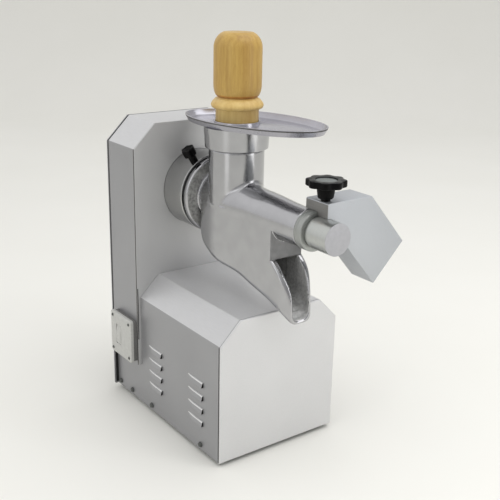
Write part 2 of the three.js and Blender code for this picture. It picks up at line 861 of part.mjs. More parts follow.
// Motor: round body with end bells, its shaft, the saddle it lies in and its capacitor
function motorBody() {
  const body = turnedY([
    [0, motorFront], [motorBellRadius, motorFront], [motorRadius - 6, motorFront + motorBellLength * 0.4],
    [motorRadius, motorFront + motorBellLength], [motorRadius, motorRear - motorBellLength],
    [motorRadius - 6, motorRear - motorBellLength * 0.4], [motorBellRadius, motorRear], [0, motorRear],
  ], 28, 0, motorHeight);
  const bore = rodY(motorShaftRadius + gap, motorRear - motorShaftDepth, motorRear + 1, 0, motorHeight, 20);
  return cut(body, bore);
}
add('motor_body', motorBody(), materials.paintedMotor);
const motorShaft = rodY(motorShaftRadius, motorRear - motorShaftDepth + gap, motorShaftEnd,
  0, motorHeight, 20);
add('motor_shaft', motorShaft, materials.machinedSteel);

function motorCradle() {
  const half = cradleWidth / 2;
  const top = motorHeight - motorRadius * 0.5;
  const block = box(-half, half, cradleFront, cradleRear, panTop + gap, top);
  const saddle = rodY(motorRadius + gap, cradleFront - 1, cradleRear + 1, 0, motorHeight, 36);
  const space = box(-half - 1, half + 1, cradleFront + cradleWall, cradleRear - cradleWall,
    panTop + gap + 6, top + 1);
  return cut(block, saddle, space);
}
add('motor_cradle', motorCradle(), materials.galvanised);
add('run_capacitor', turnedZ([
  [0, panTop + gap], [capacitorRadius, panTop + gap], [capacitorRadius, panTop + capacitorHeight - 3],
  [capacitorRadius - 3, panTop + capacitorHeight], [0, panTop + capacitorHeight],
], 20, capacitorX, capacitorY), materials.greyPlastic);

// Switch: base box, face plate with a window, rocker and corner screws
function switchCorners() {
  const y = switchWidth / 2 - switchScrewInset;
  const z = switchHeight / 2 - switchScrewInset;
  return [[y, z], [-y, z], [y, -z], [-y, -z]].map(([u, v]) => [switchY + u, switchZ + v]);
}
const rockerY = switchY + rockerOffset;
const plateFace = switchFace - gap - switchPlateDepth;

function switchPart(x0, x1, inset, windowMargin) {
  const y = switchWidth / 2 - inset;
  const z = switchHeight / 2 - inset;
  const body = box(x0, x1, switchY - y, switchY + y, switchZ - z, switchZ + z);
  const holes = switchCorners().map(([u, v]) => rodX(screwHole, x0 - 1, x1 + 1, u, v, 8));
  const window = box(x0 - 1, x1 + 1, rockerY - rockerWidth / 2 - windowMargin,
    rockerY + rockerWidth / 2 + windowMargin, switchZ - rockerHeight / 2 - windowMargin,
    switchZ + rockerHeight / 2 + windowMargin);
  return cut(body, window, ...holes);
}
add('switch_box', switchPart(switchFace, -tallHalf - gap, 1, 1), materials.greyPlastic);
add('switch_plate', switchPart(plateFace, switchFace - gap, 0, 0.8), materials.palePlastic);

function switchRocker() {
  const height = rockerHeight / 2;
  const face = -rockerStand;
  const lift = height * Math.tan(rockerTilt * Math.PI / 180);
  const points = [
    [rockerDepth, -height * 0.5], [rockerDepth, height * 0.5], [lift * 0.6, height], [face + lift, height],
    [face * 0.7, 0], [face - lift * 0.2, -height], [1, -height],
  ];
  const geometry = new THREE.ExtrudeGeometry(shapeOf(points), { depth: rockerWidth, bevelEnabled: false });
  geometry.applyMatrix4(alongY);
  geometry.translate(plateFace, rockerY + rockerWidth / 2, switchZ);
  return solid(geometry);
}
add('switch_rocker', switchRocker(), materials.palePlastic);

switchCorners().forEach(([y, z], i) => {
  const reach = switchPlateDepth + switchBaseDepth - 1;
  const body = turnedX([
    [0, plateFace + reach], [screwShankRadius, plateFace + reach], [screwShankRadius, plateFace - gap],
    [switchScrewRadius, plateFace - gap], [switchScrewRadius * 0.7, plateFace - gap - switchScrewStand],
    [0, plateFace - gap - switchScrewStand],
  ], 10, y, z);
  add(`switch_screw_${i + 1}`, body, materials.machinedSteel);
});

// Mounting collar: takes the head's spigot in front and the main bearing behind
function mountCollar() {
  const front = -collarLength;
  const pocketFloor = front + pocketDepth;
  const profile = [
    [hubRadius, frontBearingRear + gap], [bearingRadius + gap, frontBearingRear + gap],
    [bearingRadius + gap, pocketFloor], [pocketRadius, pocketFloor], [pocketRadius, front],
    [collarRadius - 1.5, front], [collarRadius, front + 1.5], [collarRadius, sheet], [hubRadius, sheet],
    [hubRadius, frontBearingRear + gap],
  ];
  const body = turnedY(profile, 40, 0, axisHeight);
  const hole = rodZ(lockStudRadius + gap, pocketRadius - 3, collarRadius + 3, 0, lockY, 12);
  return cut(body, tiltedToLock(hole));
}

// Turns a piece built upright on the barrel's axis over to the lock knob's angle
function tiltedToLock(body) {
  const geometry = asGeometry(body);
  geometry.rotateY(-lockAngle * Math.PI / 180);
  geometry.translate(0, 0, axisHeight);
  return solid(geometry);
}
add('mount_collar', mountCollar(), materials.polishedSteel);

// Small lobed knob whose stud presses on the spigot
function lockKnob() {
  const stud = rodZ(lockStudRadius, spigotRadius + gap, collarRadius + lockHubLength, 0, lockY, 12);
  const hub = rodZ(lockHubRadius, collarRadius + gap, collarRadius + lockHubLength + 1, 0, lockY, 16);
  const outline = lobedOutline(lockHeadRadius, 1.6, lockLobes, 4);
  const head = new THREE.ExtrudeGeometry(shapeOf(outline), { depth: lockHeadLength, bevelEnabled: false });
  head.translate(0, lockY, collarRadius + lockHubLength);
  return tiltedToLock(joined(stud, hub, solid(head)));
}
add('lock_knob', lockKnob(), materials.blackPlastic);

// Cast head: flange and barrel turned about y, the feed tube about z, the belly lofted along y
function bellySection(y, half, bottom, top) {
  const round = Math.min(bellyRound, half * 0.8);
  const points = [new THREE.Vector3(-half, y, top), new THREE.Vector3(-half, y, bottom + round)];
  const steps = 3;
  for (let i = 1; i <= steps; i += 1) {
    const turn = Math.PI / 2 * i / steps;
    points.push(new THREE.Vector3(
      -half + round - round * Math.cos(turn), y, bottom + round - round * Math.sin(turn)));
  }
  for (let i = 0; i <= steps; i += 1) {
    const turn = Math.PI / 2 * i / steps;
    points.push(new THREE.Vector3(
      half - round + round * Math.sin(turn), y, bottom + round - round * Math.cos(turn)));
  }
  points.push(new THREE.Vector3(half, y, top));
  return points;
}

function bellyLoft(wall, reach) {
  const last = bellyStations.length - 1;
  return loft(bellyStations.map(([y, half, bottom], i) => {
    const place = i === 0 ? y - wall : i === last ? y - reach : y;
    return bellySection(place, half - wall * (i === last ? 0.5 : 1), bottom + wall, axisHeight);
  }));
}

// Everything in front of the spout's mouth, to be cut away: the front wall, then a curve to the tip
function mouthCutter() {
  const curve = new THREE.QuadraticBezierCurve(
    new THREE.Vector2(spoutFrontWall, spoutTop),
    new THREE.Vector2(spoutBulgeY, spoutBulgeZ),
    new THREE.Vector2(spoutTipY, spoutTipZ));
  const points = curve.getPoints(8).map((p) => [p.x, p.y]);
  const front = spoutTipY - mouthReach;
  const outline = [
    [spoutFrontWall, axisHeight + 1], ...points, [spoutTipY, spoutTipZ - mouthReach],
    [front, spoutTipZ - mouthReach],
    [front, axisHeight + 1],
  ];
  return prismX(outline, -lowHalf, lowHalf);
}

function belly() {
  const outer = cut(bellyLoft(0, 0), mouthCutter());
  const behindWall = box(-lowHalf, lowHalf, spoutTipY - mouthReach, spoutFrontWall + bellyWall,
    spoutTop, axisHeight + 1);
  return cut(outer, cut(bellyLoft(bellyWall, 12), behindWall));
}

// The bore's radius at a place along the barrel
function boreAt(y) {
  for (let i = 1; i < barrelStations.length; i += 1) {
    const [near, , nearBore] = barrelStations[i - 1];
    const [far, , farBore] = barrelStations[i];
    if (y >= near) return nearBore;
    if (y >= far) return nearBore + (farBore - nearBore) * (y - near) / (far - near);
  }
  return noseBore;
}

function headBody() {
  const shell = turnedY([
    [0, spigotRear - gap], [spigotRadius, spigotRear - gap], [spigotRadius, -collarLength - gap],
    [shoulderRadius, -collarLength - gap], [shoulderRadius, flangeRear], [flangeRadius - 1.5, flangeRear],
    [flangeRadius, flangeRear - 1.5], [flangeRadius, flangeFront + 1.5], [flangeRadius - 1.5, flangeFront],
    [barrelRadius, flangeFront], ...barrelStations.map(([y, outer]) => [outer, y]),
    [threadRadius, noseEnd], [threadRadius, threadEnd], [0, threadEnd],
  ], 40, 0, axisHeight);
  const bore = turnedY([
    [0, rearWallFront], [boreRadius, rearWallFront], ...barrelStations.map(([y, , inner]) => [inner, y]),
    [noseBore, threadEnd - 1], [0, threadEnd - 1],
  ], 32, 0, axisHeight);
  const hubBore = rodY(hubRadius + 1, sealSeat - sealThickness - gap, 0, 0, axisHeight, 24);
  const neckHole = rodY(neckRadius + gap, rearWallFront - 1, 0, 0, axisHeight, 20);
  const tube = rodZ(tubeRadius, axisHeight, tubeTop, 0, tubeY, 36);
  const tubeHole = rodZ(tubeBore, axisHeight, tubeTop + 1, 0, tubeY, 32);
  const window = box(-windowHalfWidth, windowHalfWidth, windowFront, windowRear,
    axisHeight - barrelRadius - cutMargin, axisHeight - 10);
  return cut(joined(shell, tube, belly()), bore, hubBore, neckHole, tubeHole, window);
}
add('head_body', headBody(), materials.polishedSteel);

// Seal ring round the auger's neck, in the head's rear wall
add('shaft_seal', ringY(neckRadius + gap, hubRadius + 1 - gap, sealSeat - sealThickness, sealSeat,
  0, axisHeight, 20), materials.whiteSilicone);

// Strainer: a slotted piece of the bore's own cone, dropped into the window of the barrel's floor
function strainer() {
  const places = [windowRear + 1, ...barrelStations.map(([y]) => y), windowFront - 1]
    .filter((y) => y <= windowRear + 1 && y >= windowFront - 1);
  const under = places.map((y) => [boreAt(y) + gap + strainerThickness, y]);
  const over = places.map((y) => [boreAt(y) + gap, y]).reverse();
  const cone = turnedY([...under, ...over, under[0]], 40, 0, axisHeight);
  const keep = box(-windowHalfWidth + gap, windowHalfWidth - gap, windowFront + gap, windowRear - gap,
    axisHeight - barrelRadius - cutMargin, axisHeight);
  const pitch = (windowRear - windowFront) / (strainerSlots + 1);
  const slots = Array.from({ length: strainerSlots }, (_, i) => {
    const y = windowFront + pitch * (i + 1);
    return box(-strainerSlotLength / 2, strainerSlotLength / 2, y - strainerSlotWidth / 2,
      y + strainerSlotWidth / 2, axisHeight - barrelRadius - cutMargin, axisHeight);
  });
  return cut(cone.intersect(keep), ...slots);
}
add('strainer', strainer(), materials.polishedSteel);

// Auger: a square tang, a neck, a core that grows forwards and one tapering flight
function augerFlight() {
  const length = flightRear - flightFront;
  const turns = length / ((pitchRear + pitchFront) / 2);
  const steps = Math.round(turns * flightSteps);
  const sections = [];
  for (let i = 0; i <= steps; i += 1) {
    const s = i / steps;
    // The pitch falls evenly along the screw, so the turn grows with the logarithm of the pitch
    const share = Math.log(1 + s * (pitchFront / pitchRear - 1)) / Math.log(pitchFront / pitchRear);
    const turn = 2 * Math.PI * turns * share;
    const y = flightRear - length * s;
    const outer = boreAt(y - flightThickness) - augerClearance;
    const corners = [[coreRear - 4, 1], [outer, 0.7], [outer, -0.7], [coreRear - 4, -1]];
    sections.push(corners.map(([r, side]) => new THREE.Vector3(
      r * Math.cos(turn), y + side * flightThickness / 2, r * Math.sin(turn))));
  }
  return loft(sections);
}

function auger() {
  const half = tangSize / 2;
  const tangFront = -collarLength;
  const core = turnedY([
    [0, hubFront - gap], [neckRadius, hubFront - gap], [neckRadius, rearWallFront - gap],
    [coreRear, rearWallFront - 3], [coreFront, augerTip + 8], [coreFront - 8, augerTip], [0, augerTip],
  ], 16, 0, 0);
  const tang = box(-half, half, tangFront, tangFront + tangLength, -half, half);
  const body = joined(core, tang, augerFlight());
  const geometry = asGeometry(body);
  geometry.translate(0, 0, axisHeight);
  return solid(geometry);
}
add('auger', auger(), materials.polishedSteel);

// Nose ring: a union nut on the barrel's end, its lip in front of the nozzle's flange
function noseRing() {
  const lipRear = ringFront + ringLip;
  const inner = threadRadius + gap;
  return turnedY([
    [inner, ringRear], [ringRadius - 0.6, ringRear], [ringRadius, ringRear - 0.6],
    [ringRadius, ringFront + ringRound], [ringRadius - ringRound, ringFront],
    [nozzleNeckRadius + gap, ringFront], [nozzleNeckRadius + gap, lipRear], [inner, lipRear],
    [inner, ringRear],
  ], 40, 0, axisHeight);
}
add('nose_ring', noseRing(), materials.polishedSteel);

// Nozzle: flanged tube with a closed end, a pulp slot on its right side and a boss for the star knob
function outletNozzle() {
  const tube = turnedY([
    [0, nozzleRear], [threadRadius, nozzleRear], [threadRadius, nozzleFlangeFront],
    [nozzleNeckRadius, nozzleFlangeFront], [nozzleNeckRadius, nozzleNeckEnd], [nozzleRadius, nozzleNeckEnd],
    [nozzleRadius, nozzleEnd + 0.8], [nozzleRadius - 0.8, nozzleEnd], [0, nozzleEnd],
  ], 36, 0, axisHeight);
  const boss = rodZ(bossRadius, axisHeight + nozzleBore * 0.75, chuteUnderside - gap, screwX, screwY, 16);
  const bore = rodY(nozzleBore, nozzleEnd + nozzleCap, nozzleRear + 1, 0, axisHeight, 28);
  const slot = box(0, nozzleRadius + cutMargin, slotFront, slotRear, slotBottom, slotTop);
  const studHole = rodZ(studRadius + gap, studEnd - gap, chuteTop, screwX, screwY, 12);
  return cut(joined(tube, boss), bore, slot, studHole);
}
add('outlet_nozzle', outletNozzle(), materials.polishedSteel);

// Pulp chute: folded sheet, open at its lower end and at the nozzle
function offsetOutline(points, distance) {
  const count = points.length;
  return points.map((_, i) => {
    const before = new THREE.Vector2(...points[(i + count - 1) % count]);
    const here = new THREE.Vector2(...points[i]);
    const after = new THREE.Vector2(...points[(i + 1) % count]);
    const first = here.clone().sub(before).normalize();
    const second = after.clone().sub(here).normalize();
    const bisector = new THREE.Vector2(first.y + second.y, -first.x - second.x).normalize();
    const reach = distance / (bisector.x * first.y - bisector.y * first.x);
    return [here.x - bisector.x * reach, here.y - bisector.y * reach];
  });
}

function pulpChute() {
  const outline = [
    [chuteLeft, chuteTop], [chuteLeft, chuteInnerEnd[1]], chuteInnerEnd, chuteMouthBottom,
    chuteMouthTop, [chuteKneeX, chuteTop],
  ];
  const outer = prismY(outline, chuteFront, chuteRear);
  const inner = offsetOutline(outline, sheet);
  const wayOut = new THREE.Vector2(chuteMouthTop[0] - chuteKneeX, chuteMouthTop[1] - chuteTop).normalize();
  const reach = 2 * cutMargin;
  inner[3] = [inner[3][0] + wayOut.x * reach, inner[3][1] + wayOut.y * reach];
  inner[4] = [inner[4][0] + wayOut.x * reach, inner[4][1] + wayOut.y * reach];
  const hollow = prismY(inner, chuteFront + sheet, chuteRear - sheet);
  const nozzleHole = rodY(nozzleRadius + gap, chuteFront - 1, chuteRear + 1, 0, axisHeight, 40);
  const ringHole = rodY(ringRadius + gap, ringFront - 2 * gap, chuteRear + 1, 0, axisHeight, 40);
  const nozzleWay = box(chuteLeft - 1, nozzleRadius + gap, chuteFront - 1, chuteRear + 1,
    axisHeight - nozzleRadius, axisHeight);
  const ringWay = box(chuteLeft - 1, ringRadius + gap, ringFront - 2 * gap, chuteRear + 1,
    axisHeight - ringRadius, axisHeight);
  const studHole = rodZ(studRadius + gap, chuteUnderside - 1, chuteTop + 1, screwX, screwY, 12);
  return cut(outer, hollow, nozzleHole, ringHole, nozzleWay, ringWay, studHole);
}
add('pulp_chute', pulpChute(), materials.chuteSheet);

// Star knob with its screw
function starKnob() {
  const hubTop = knobBase + knobNeckLength + knobHubLength;
  const stem = turnedZ([
    [0, studEnd], [studRadius, studEnd], [studRadius, knobBase], [knobNeckRadius, knobBase],
    [knobNeckRadius, knobBase + knobNeckLength], [knobHubRadius, knobBase + knobNeckLength],
    [knobHubRadius, hubTop + 1], [0, hubTop + 1],
  ], 24, screwX, screwY);
  const outline = movedTo(lobedOutline(knobRadius, knobLobeDepth, knobLobes, 6), screwX, screwY);
  const head = new THREE.ExtrudeGeometry(shapeOf(outline), { depth: knobThickness, bevelEnabled: false });
  head.translate(0, 0, hubTop);
  const recess = rodZ(knobRecessRadius, hubTop + knobThickness - knobRecessDepth, hubTop + knobThickness + 1,
    screwX, screwY, 24);
  return cut(joined(stem, solid(head)), recess);
}
add('star_knob', starKnob(), materials.blackPlastic);

// Feed tray: an oval dish with a sloping rim
function traySection(inset, z) {
  const points = [];
  for (let i = 0; i < traySides; i += 1) {
    const turn = 2 * Math.PI * i / traySides;
    points.push(new THREE.Vector3(
      (trayHalfWidth - inset) * Math.cos(turn), (trayHalfLength - inset) * Math.sin(turn), z));
  }
  const lean = trayTurn * Math.PI / 180;
  return points.map((p) => p.applyAxisAngle(new THREE.Vector3(0, 0, 1), lean)
    .add(new THREE.Vector3(trayCentreX, trayCentreY, 0)));
}

function feedTray() {
  const floor = trayRimHeight - trayDepth;
  const steep = traySlope / trayDepth;
  const dish = loft([traySection(traySlope, floor - sheet), traySection(0, trayRimHeight - sheet),
    traySection(0, trayRimHeight)]);
  const inside = loft([
    traySection(traySlope + sheet, floor), traySection(sheet * 1.4, trayRimHeight),
    traySection(sheet * 1.4 - steep, trayRimHeight + 1),
  ]);
  const hubHole = rodZ(tubeRadius + trayHubWall + 2 * gap, floor - cutMargin, trayRimHeight + 1, 0, tubeY, 40);
  return cut(dish, inside, hubHole);
}
add('feed_tray', feedTray(), materials.polishedSteel);

// The tray's turned socket: a hub in the dish's hole, with a lip round the pusher and a sleeve over the feed tube
function traySocket() {
  const floor = trayRimHeight - trayDepth;
  const holeRadius = pusherStemRadius + 2 * gap;
  const lipRadius = holeRadius + trayLipWall;
  const seatRadius = tubeRadius + gap;
  const hubRadius = seatRadius + trayHubWall;
  const shoulder = floor - sheet - gap;
  return turnedZ([
    [seatRadius, socketBottom], [socketBottomRadius, socketBottom], [socketTopRadius, shoulder],
    [hubRadius, shoulder], [hubRadius, floor], [lipRadius, floor], [lipRadius, floor + trayLipHeight],
    [holeRadius, floor + trayLipHeight], [holeRadius, floor - sheet], [seatRadius, floor - sheet],
    [seatRadius, socketBottom],
  ], 40, 0, tubeY);
}
add('tray_socket', traySocket(), materials.polishedSteel);

// Turned wooden pusher, its foot just above the auger
function pusher() {
  const foot = axisHeight + boreRadius - augerClearance + 0.5;
  const beadTop = beadBottom + beadHeight;
  const points = [
    [0, foot], [pusherStemRadius - 3, foot], [pusherStemRadius, foot + 3], [pusherStemRadius, beadBottom],
  ];
  const beadSteps = 4;
  for (let i = 0; i <= beadSteps; i += 1) {
    const turn = -Math.PI / 3 + 2 * Math.PI / 3 * i / beadSteps;
    const out = (Math.cos(turn) - 0.5) * 2;
    const up = Math.sin(turn) / Math.sin(Math.PI / 3);
    points.push([beadRadius - beadRound * (1 - out), beadBottom + beadHeight / 2 * (1 + up)]);
  }
  points.push([waistRadius, beadTop + 1.5]);
  const flareSteps = 3;
  for (let i = 1; i <= flareSteps; i += 1) {
    const turn = Math.PI / 2 * i / flareSteps;
    points.push([
      waistRadius + (gripRadius - waistRadius) * Math.sin(turn),
      beadTop + 1.5 + gripFlare * (1 - Math.cos(turn)),
    ]);
  }
  const shoulderSteps = 3;
  for (let i = 0; i <= shoulderSteps; i += 1) {
    const turn = Math.PI / 2 * i / shoulderSteps;
    points.push([
      gripRadius - gripShoulder + gripShoulder * Math.cos(turn),
      gripTop - gripShoulder + gripShoulder * Math.sin(turn),
    ]);
  }
  points.push([0, gripTop]);
  return turnedZ(points, 28, 0, tubeY);
}
add('pusher', pusher(), materials.turnedWood);

// The origin goes under the middle of the whole box, on the floor
const bounds = new THREE.Box3().setFromObject(model);
const middle = bounds.getCenter(new THREE.Vector3());
model.position.set(-middle.x, -middle.y, -bounds.min.z);

export default model;
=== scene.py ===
import bpy
import bmesh
import json
from math import cos, hypot, pi, radians, sin, tan
import numpy as np
from mathutils import Matrix, Vector

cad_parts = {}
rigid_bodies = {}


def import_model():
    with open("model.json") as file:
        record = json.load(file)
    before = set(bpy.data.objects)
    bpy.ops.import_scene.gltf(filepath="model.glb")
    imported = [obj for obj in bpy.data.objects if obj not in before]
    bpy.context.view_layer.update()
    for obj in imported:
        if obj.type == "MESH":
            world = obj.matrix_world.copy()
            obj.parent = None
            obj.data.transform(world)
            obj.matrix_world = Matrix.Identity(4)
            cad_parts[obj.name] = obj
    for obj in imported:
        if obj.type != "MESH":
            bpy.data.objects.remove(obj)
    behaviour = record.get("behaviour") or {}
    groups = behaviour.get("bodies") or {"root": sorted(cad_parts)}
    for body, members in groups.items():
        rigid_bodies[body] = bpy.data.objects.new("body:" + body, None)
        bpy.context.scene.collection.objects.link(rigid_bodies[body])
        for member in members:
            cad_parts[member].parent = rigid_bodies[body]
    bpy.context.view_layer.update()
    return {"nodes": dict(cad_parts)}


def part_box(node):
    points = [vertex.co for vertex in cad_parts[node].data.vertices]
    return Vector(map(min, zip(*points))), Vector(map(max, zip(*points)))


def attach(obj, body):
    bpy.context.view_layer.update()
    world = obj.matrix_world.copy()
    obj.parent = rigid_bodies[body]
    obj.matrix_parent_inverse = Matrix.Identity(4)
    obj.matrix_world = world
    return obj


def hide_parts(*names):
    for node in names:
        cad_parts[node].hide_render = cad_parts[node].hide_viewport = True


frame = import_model()

mm = 0.001
coverLow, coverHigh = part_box("back_cover")
tallDepth = 84.8
midPlane = (coverLow.x + coverHigh.x) / 2
casingFront = coverHigh.y - tallDepth * mm
axisHeight = 355.5


def at(x, y, z):  # machine millimetres: x from the mid plane, y from the casing's front, z from the floor
    return Vector((midPlane + x * mm, casingFront + y * mm, z * mm))


# Camera

camera = {"azimuth": -36.412, "elevation": 18.403, "roll": 1.203, "focalPixels": 847.67,
          "framePixels": 500, "sensor": 36.0, "eye": (-702.83, -1097.83, 683.29)}


def makeCamera(s):
    data = bpy.data.cameras.new("photoCamera")
    data.sensor_fit = "HORIZONTAL"
    data.sensor_width = s["sensor"]
    data.lens = s["focalPixels"] / s["framePixels"] * s["sensor"]
    data.clip_start = 0.05
    data.clip_end = 40
    cam = bpy.data.objects.new("photoCamera", data)
    bpy.context.scene.collection.objects.link(cam)
    a, e, r = (radians(s[k]) for k in ("azimuth", "elevation", "roll"))
    back = Vector((sin(a) * cos(e), -cos(a) * cos(e), sin(e)))
    level = Vector((cos(a), sin(a), 0))
    over = back.cross(level)
    right = level * cos(r) + over * sin(r)
    up = over * cos(r) - level * sin(r)
    turn = Matrix((right, up, back)).transposed()
    cam.matrix_world = Matrix.Translation(at(*s["eye"])) @ turn.to_4x4()
    bpy.context.scene.camera = cam


makeCamera(camera)
print("camera placed")


# Node helpers

class Nodes:
    def __init__(self, tree):
        self.tree = tree

    def add(self, kind, values=None, **settings):
        node = self.tree.nodes.new(kind)
        for key, value in settings.items():
            setattr(node, key, value)
        for key, value in (values or {}).items():
            if isinstance(value, bpy.types.NodeSocket):
                self.tree.links.new(value, node.inputs[key])
            else:
                node.inputs[key].default_value = value
        return node

    def math(self, operation, a, b=0.0):
        node = self.add("ShaderNodeMath", {0: a, 1: b}, operation=operation)
        return node.outputs[0]

    def ramp(self, factor, stops):
        node = self.add("ShaderNodeValToRGB", {0: factor})
        ramp = node.color_ramp
        while len(ramp.elements) < len(stops):
            ramp.elements.new(0.5)
        for element, (place, value) in zip(ramp.elements, stops):
            element.position = place
            element.color = value if len(value) == 4 else (*value, 1)
        return node.outputs[0]

    def mixColor(self, factor, a, b, blend="MIX"):
        node = self.add("ShaderNodeMix", data_type="RGBA", blend_type=blend)
        for key, value in ((0, factor), (6, a), (7, b)):
            if isinstance(value, bpy.types.NodeSocket):
                self.tree.links.new(value, node.inputs[key])
            else:
                node.inputs[key].default_value = value
        return node.outputs[2]


def newGroup(name, inputs, outputs):
    tree = bpy.data.node_groups.new(name, "ShaderNodeTree")
    for label, kind, value in inputs:
        socket = tree.interface.new_socket(name=label, in_out="INPUT", socket_type=kind)
        socket.default_value = value
    for label, kind in outputs:
        tree.interface.new_socket(name=label, in_out="OUTPUT", socket_type=kind)
    n = Nodes(tree)
    start = n.add("NodeGroupInput")
    end = n.add("NodeGroupOutput")
    return n, start, end


def surfacePlace(n):  # object coordinates in metres
    return n.add("ShaderNodeTexCoord").outputs["Object"]


def grey(v):
    return (v, v, v, 1)


def rgb(code):  # a written screen colour as linear light
    parts = [int(code[i:i + 2], 16) / 255 for i in (1, 3, 5)]
    return tuple(p / 12.92 if p <= 0.04045 else ((p + 0.055) / 1.055) ** 2.4 for p in parts) + (1,)


# Shared effects

effectOutputs = [("Colour", "NodeSocketColor"), ("Roughness", "NodeSocketFloat"),
                 ("Height", "NodeSocketFloat")]


def putOut(n, end, *sockets):
    for (label, _), socket in zip(effectOutputs, sockets):
        n.tree.links.new(socket, end.inputs[label])
    return n.tree


def makeBrushing():
    n, start, end = newGroup(
        "brushedGrain",
        [("Across", "NodeSocketVector", (1400, 30, 1400)), ("Colour A", "NodeSocketColor", grey(0.6)),
         ("Colour B", "NodeSocketColor", grey(0.5)), ("Low", "NodeSocketFloat", 0.3),
         ("High", "NodeSocketFloat", 0.4)],
        effectOutputs)
    stretched = n.add("ShaderNodeVectorMath", {0: surfacePlace(n), 1: start.outputs["Across"]},
                      operation="MULTIPLY").outputs[0]
    lines = n.add("ShaderNodeTexNoise", {"Vector": stretched, "Scale": 1.0, "Detail": 3.0,
                                         "Roughness": 0.6})
    clouds = n.add("ShaderNodeTexNoise", {"Vector": surfacePlace(n), "Scale": 9.0, "Detail": 2.0})
    both = n.math("ADD", n.math("MULTIPLY", lines.outputs[0], 0.6),
                  n.math("MULTIPLY", clouds.outputs[0], 0.4))
    shade = n.ramp(both, [(0.35, grey(0)), (0.65, grey(1))])
    colour = n.mixColor(shade, start.outputs["Colour A"], start.outputs["Colour B"])
    rough = n.add("ShaderNodeMapRange", {0: shade, 3: start.outputs["Low"], 4: start.outputs["High"]})
    return putOut(n, end, colour, rough.outputs[0], lines.outputs[0])


def makeMottle():
    n, start, end = newGroup(
        "mottledSurface",
        [("Scale", "NodeSocketFloat", 60.0), ("Colour A", "NodeSocketColor", grey(0.6)),
         ("Colour B", "NodeSocketColor", grey(0.5)), ("Low", "NodeSocketFloat", 0.3),
         ("High", "NodeSocketFloat", 0.4)],
        effectOutputs)
    broad = n.add("ShaderNodeTexNoise",
                  {"Vector": surfacePlace(n), "Scale": start.outputs["Scale"], "Detail": 5.0,
                   "Roughness": 0.55})
    shade = n.ramp(broad.outputs[0], [(0.36, grey(0)), (0.64, grey(1))])
    colour = n.mixColor(shade, start.outputs["Colour A"], start.outputs["Colour B"])
    rough = n.add("ShaderNodeMapRange", {0: shade, 3: start.outputs["Low"], 4: start.outputs["High"]})
    return putOut(n, end, colour, rough.outputs[0], broad.outputs[0])


def makeWoodGrain():
    n, start, end = newGroup(
        "turnedWoodGrain",
        [("Light", "NodeSocketColor", rgb("#c9a554")), ("Dark", "NodeSocketColor", rgb("#a9823a")),
         ("Centre", "NodeSocketVector", (0, 0, 0))],
        effectOutputs)
    local = n.add("ShaderNodeVectorMath", {0: surfacePlace(n), 1: start.outputs["Centre"]},
                  operation="SUBTRACT").outputs[0]
    squeezed = n.add("ShaderNodeVectorMath", {0: local, 1: (1.0, 1.0, 0.07)},
                     operation="MULTIPLY").outputs[0]
    broad = n.add("ShaderNodeTexNoise", {"Vector": squeezed, "Scale": 34.0, "Detail": 3.0,
                                         "Roughness": 0.5})
    streaks = n.add("ShaderNodeTexNoise", {"Vector": squeezed, "Scale": 190.0, "Detail": 3.0,
                                           "Roughness": 0.6})
    thin = n.add("ShaderNodeVectorMath", {0: local, 1: (1100.0, 1100.0, 70.0)},
                 operation="MULTIPLY").outputs[0]
    fibres = n.add("ShaderNodeTexNoise", {"Vector": thin, "Scale": 1.0, "Detail": 3.0})
    shade = n.math("ADD", n.math("MULTIPLY", broad.outputs[0], 0.45),
                   n.math("MULTIPLY", streaks.outputs[0], 0.35))
    shade = n.math("ADD", shade, n.math("MULTIPLY", fibres.outputs[0], 0.2))
    tone = n.ramp(shade, [(0.38, grey(0)), (0.62, grey(1))])
    flecks = n.ramp(fibres.outputs[0], [(0.3, grey(1)), (0.37, grey(0))])
    tone = n.math("ADD", tone, n.math("MULTIPLY", flecks, 0.6))
    colour = n.mixColor(tone, start.outputs["Light"], start.outputs["Dark"])
    rough = n.add("ShaderNodeMapRange", {0: fibres.outputs[0], 3: 0.42, 4: 0.6})
    return putOut(n, end, colour, rough.outputs[0], fibres.outputs[0])


groups = {"brushed": makeBrushing(), "mottled": makeMottle(), "wood": makeWoodGrain()}


# Materials

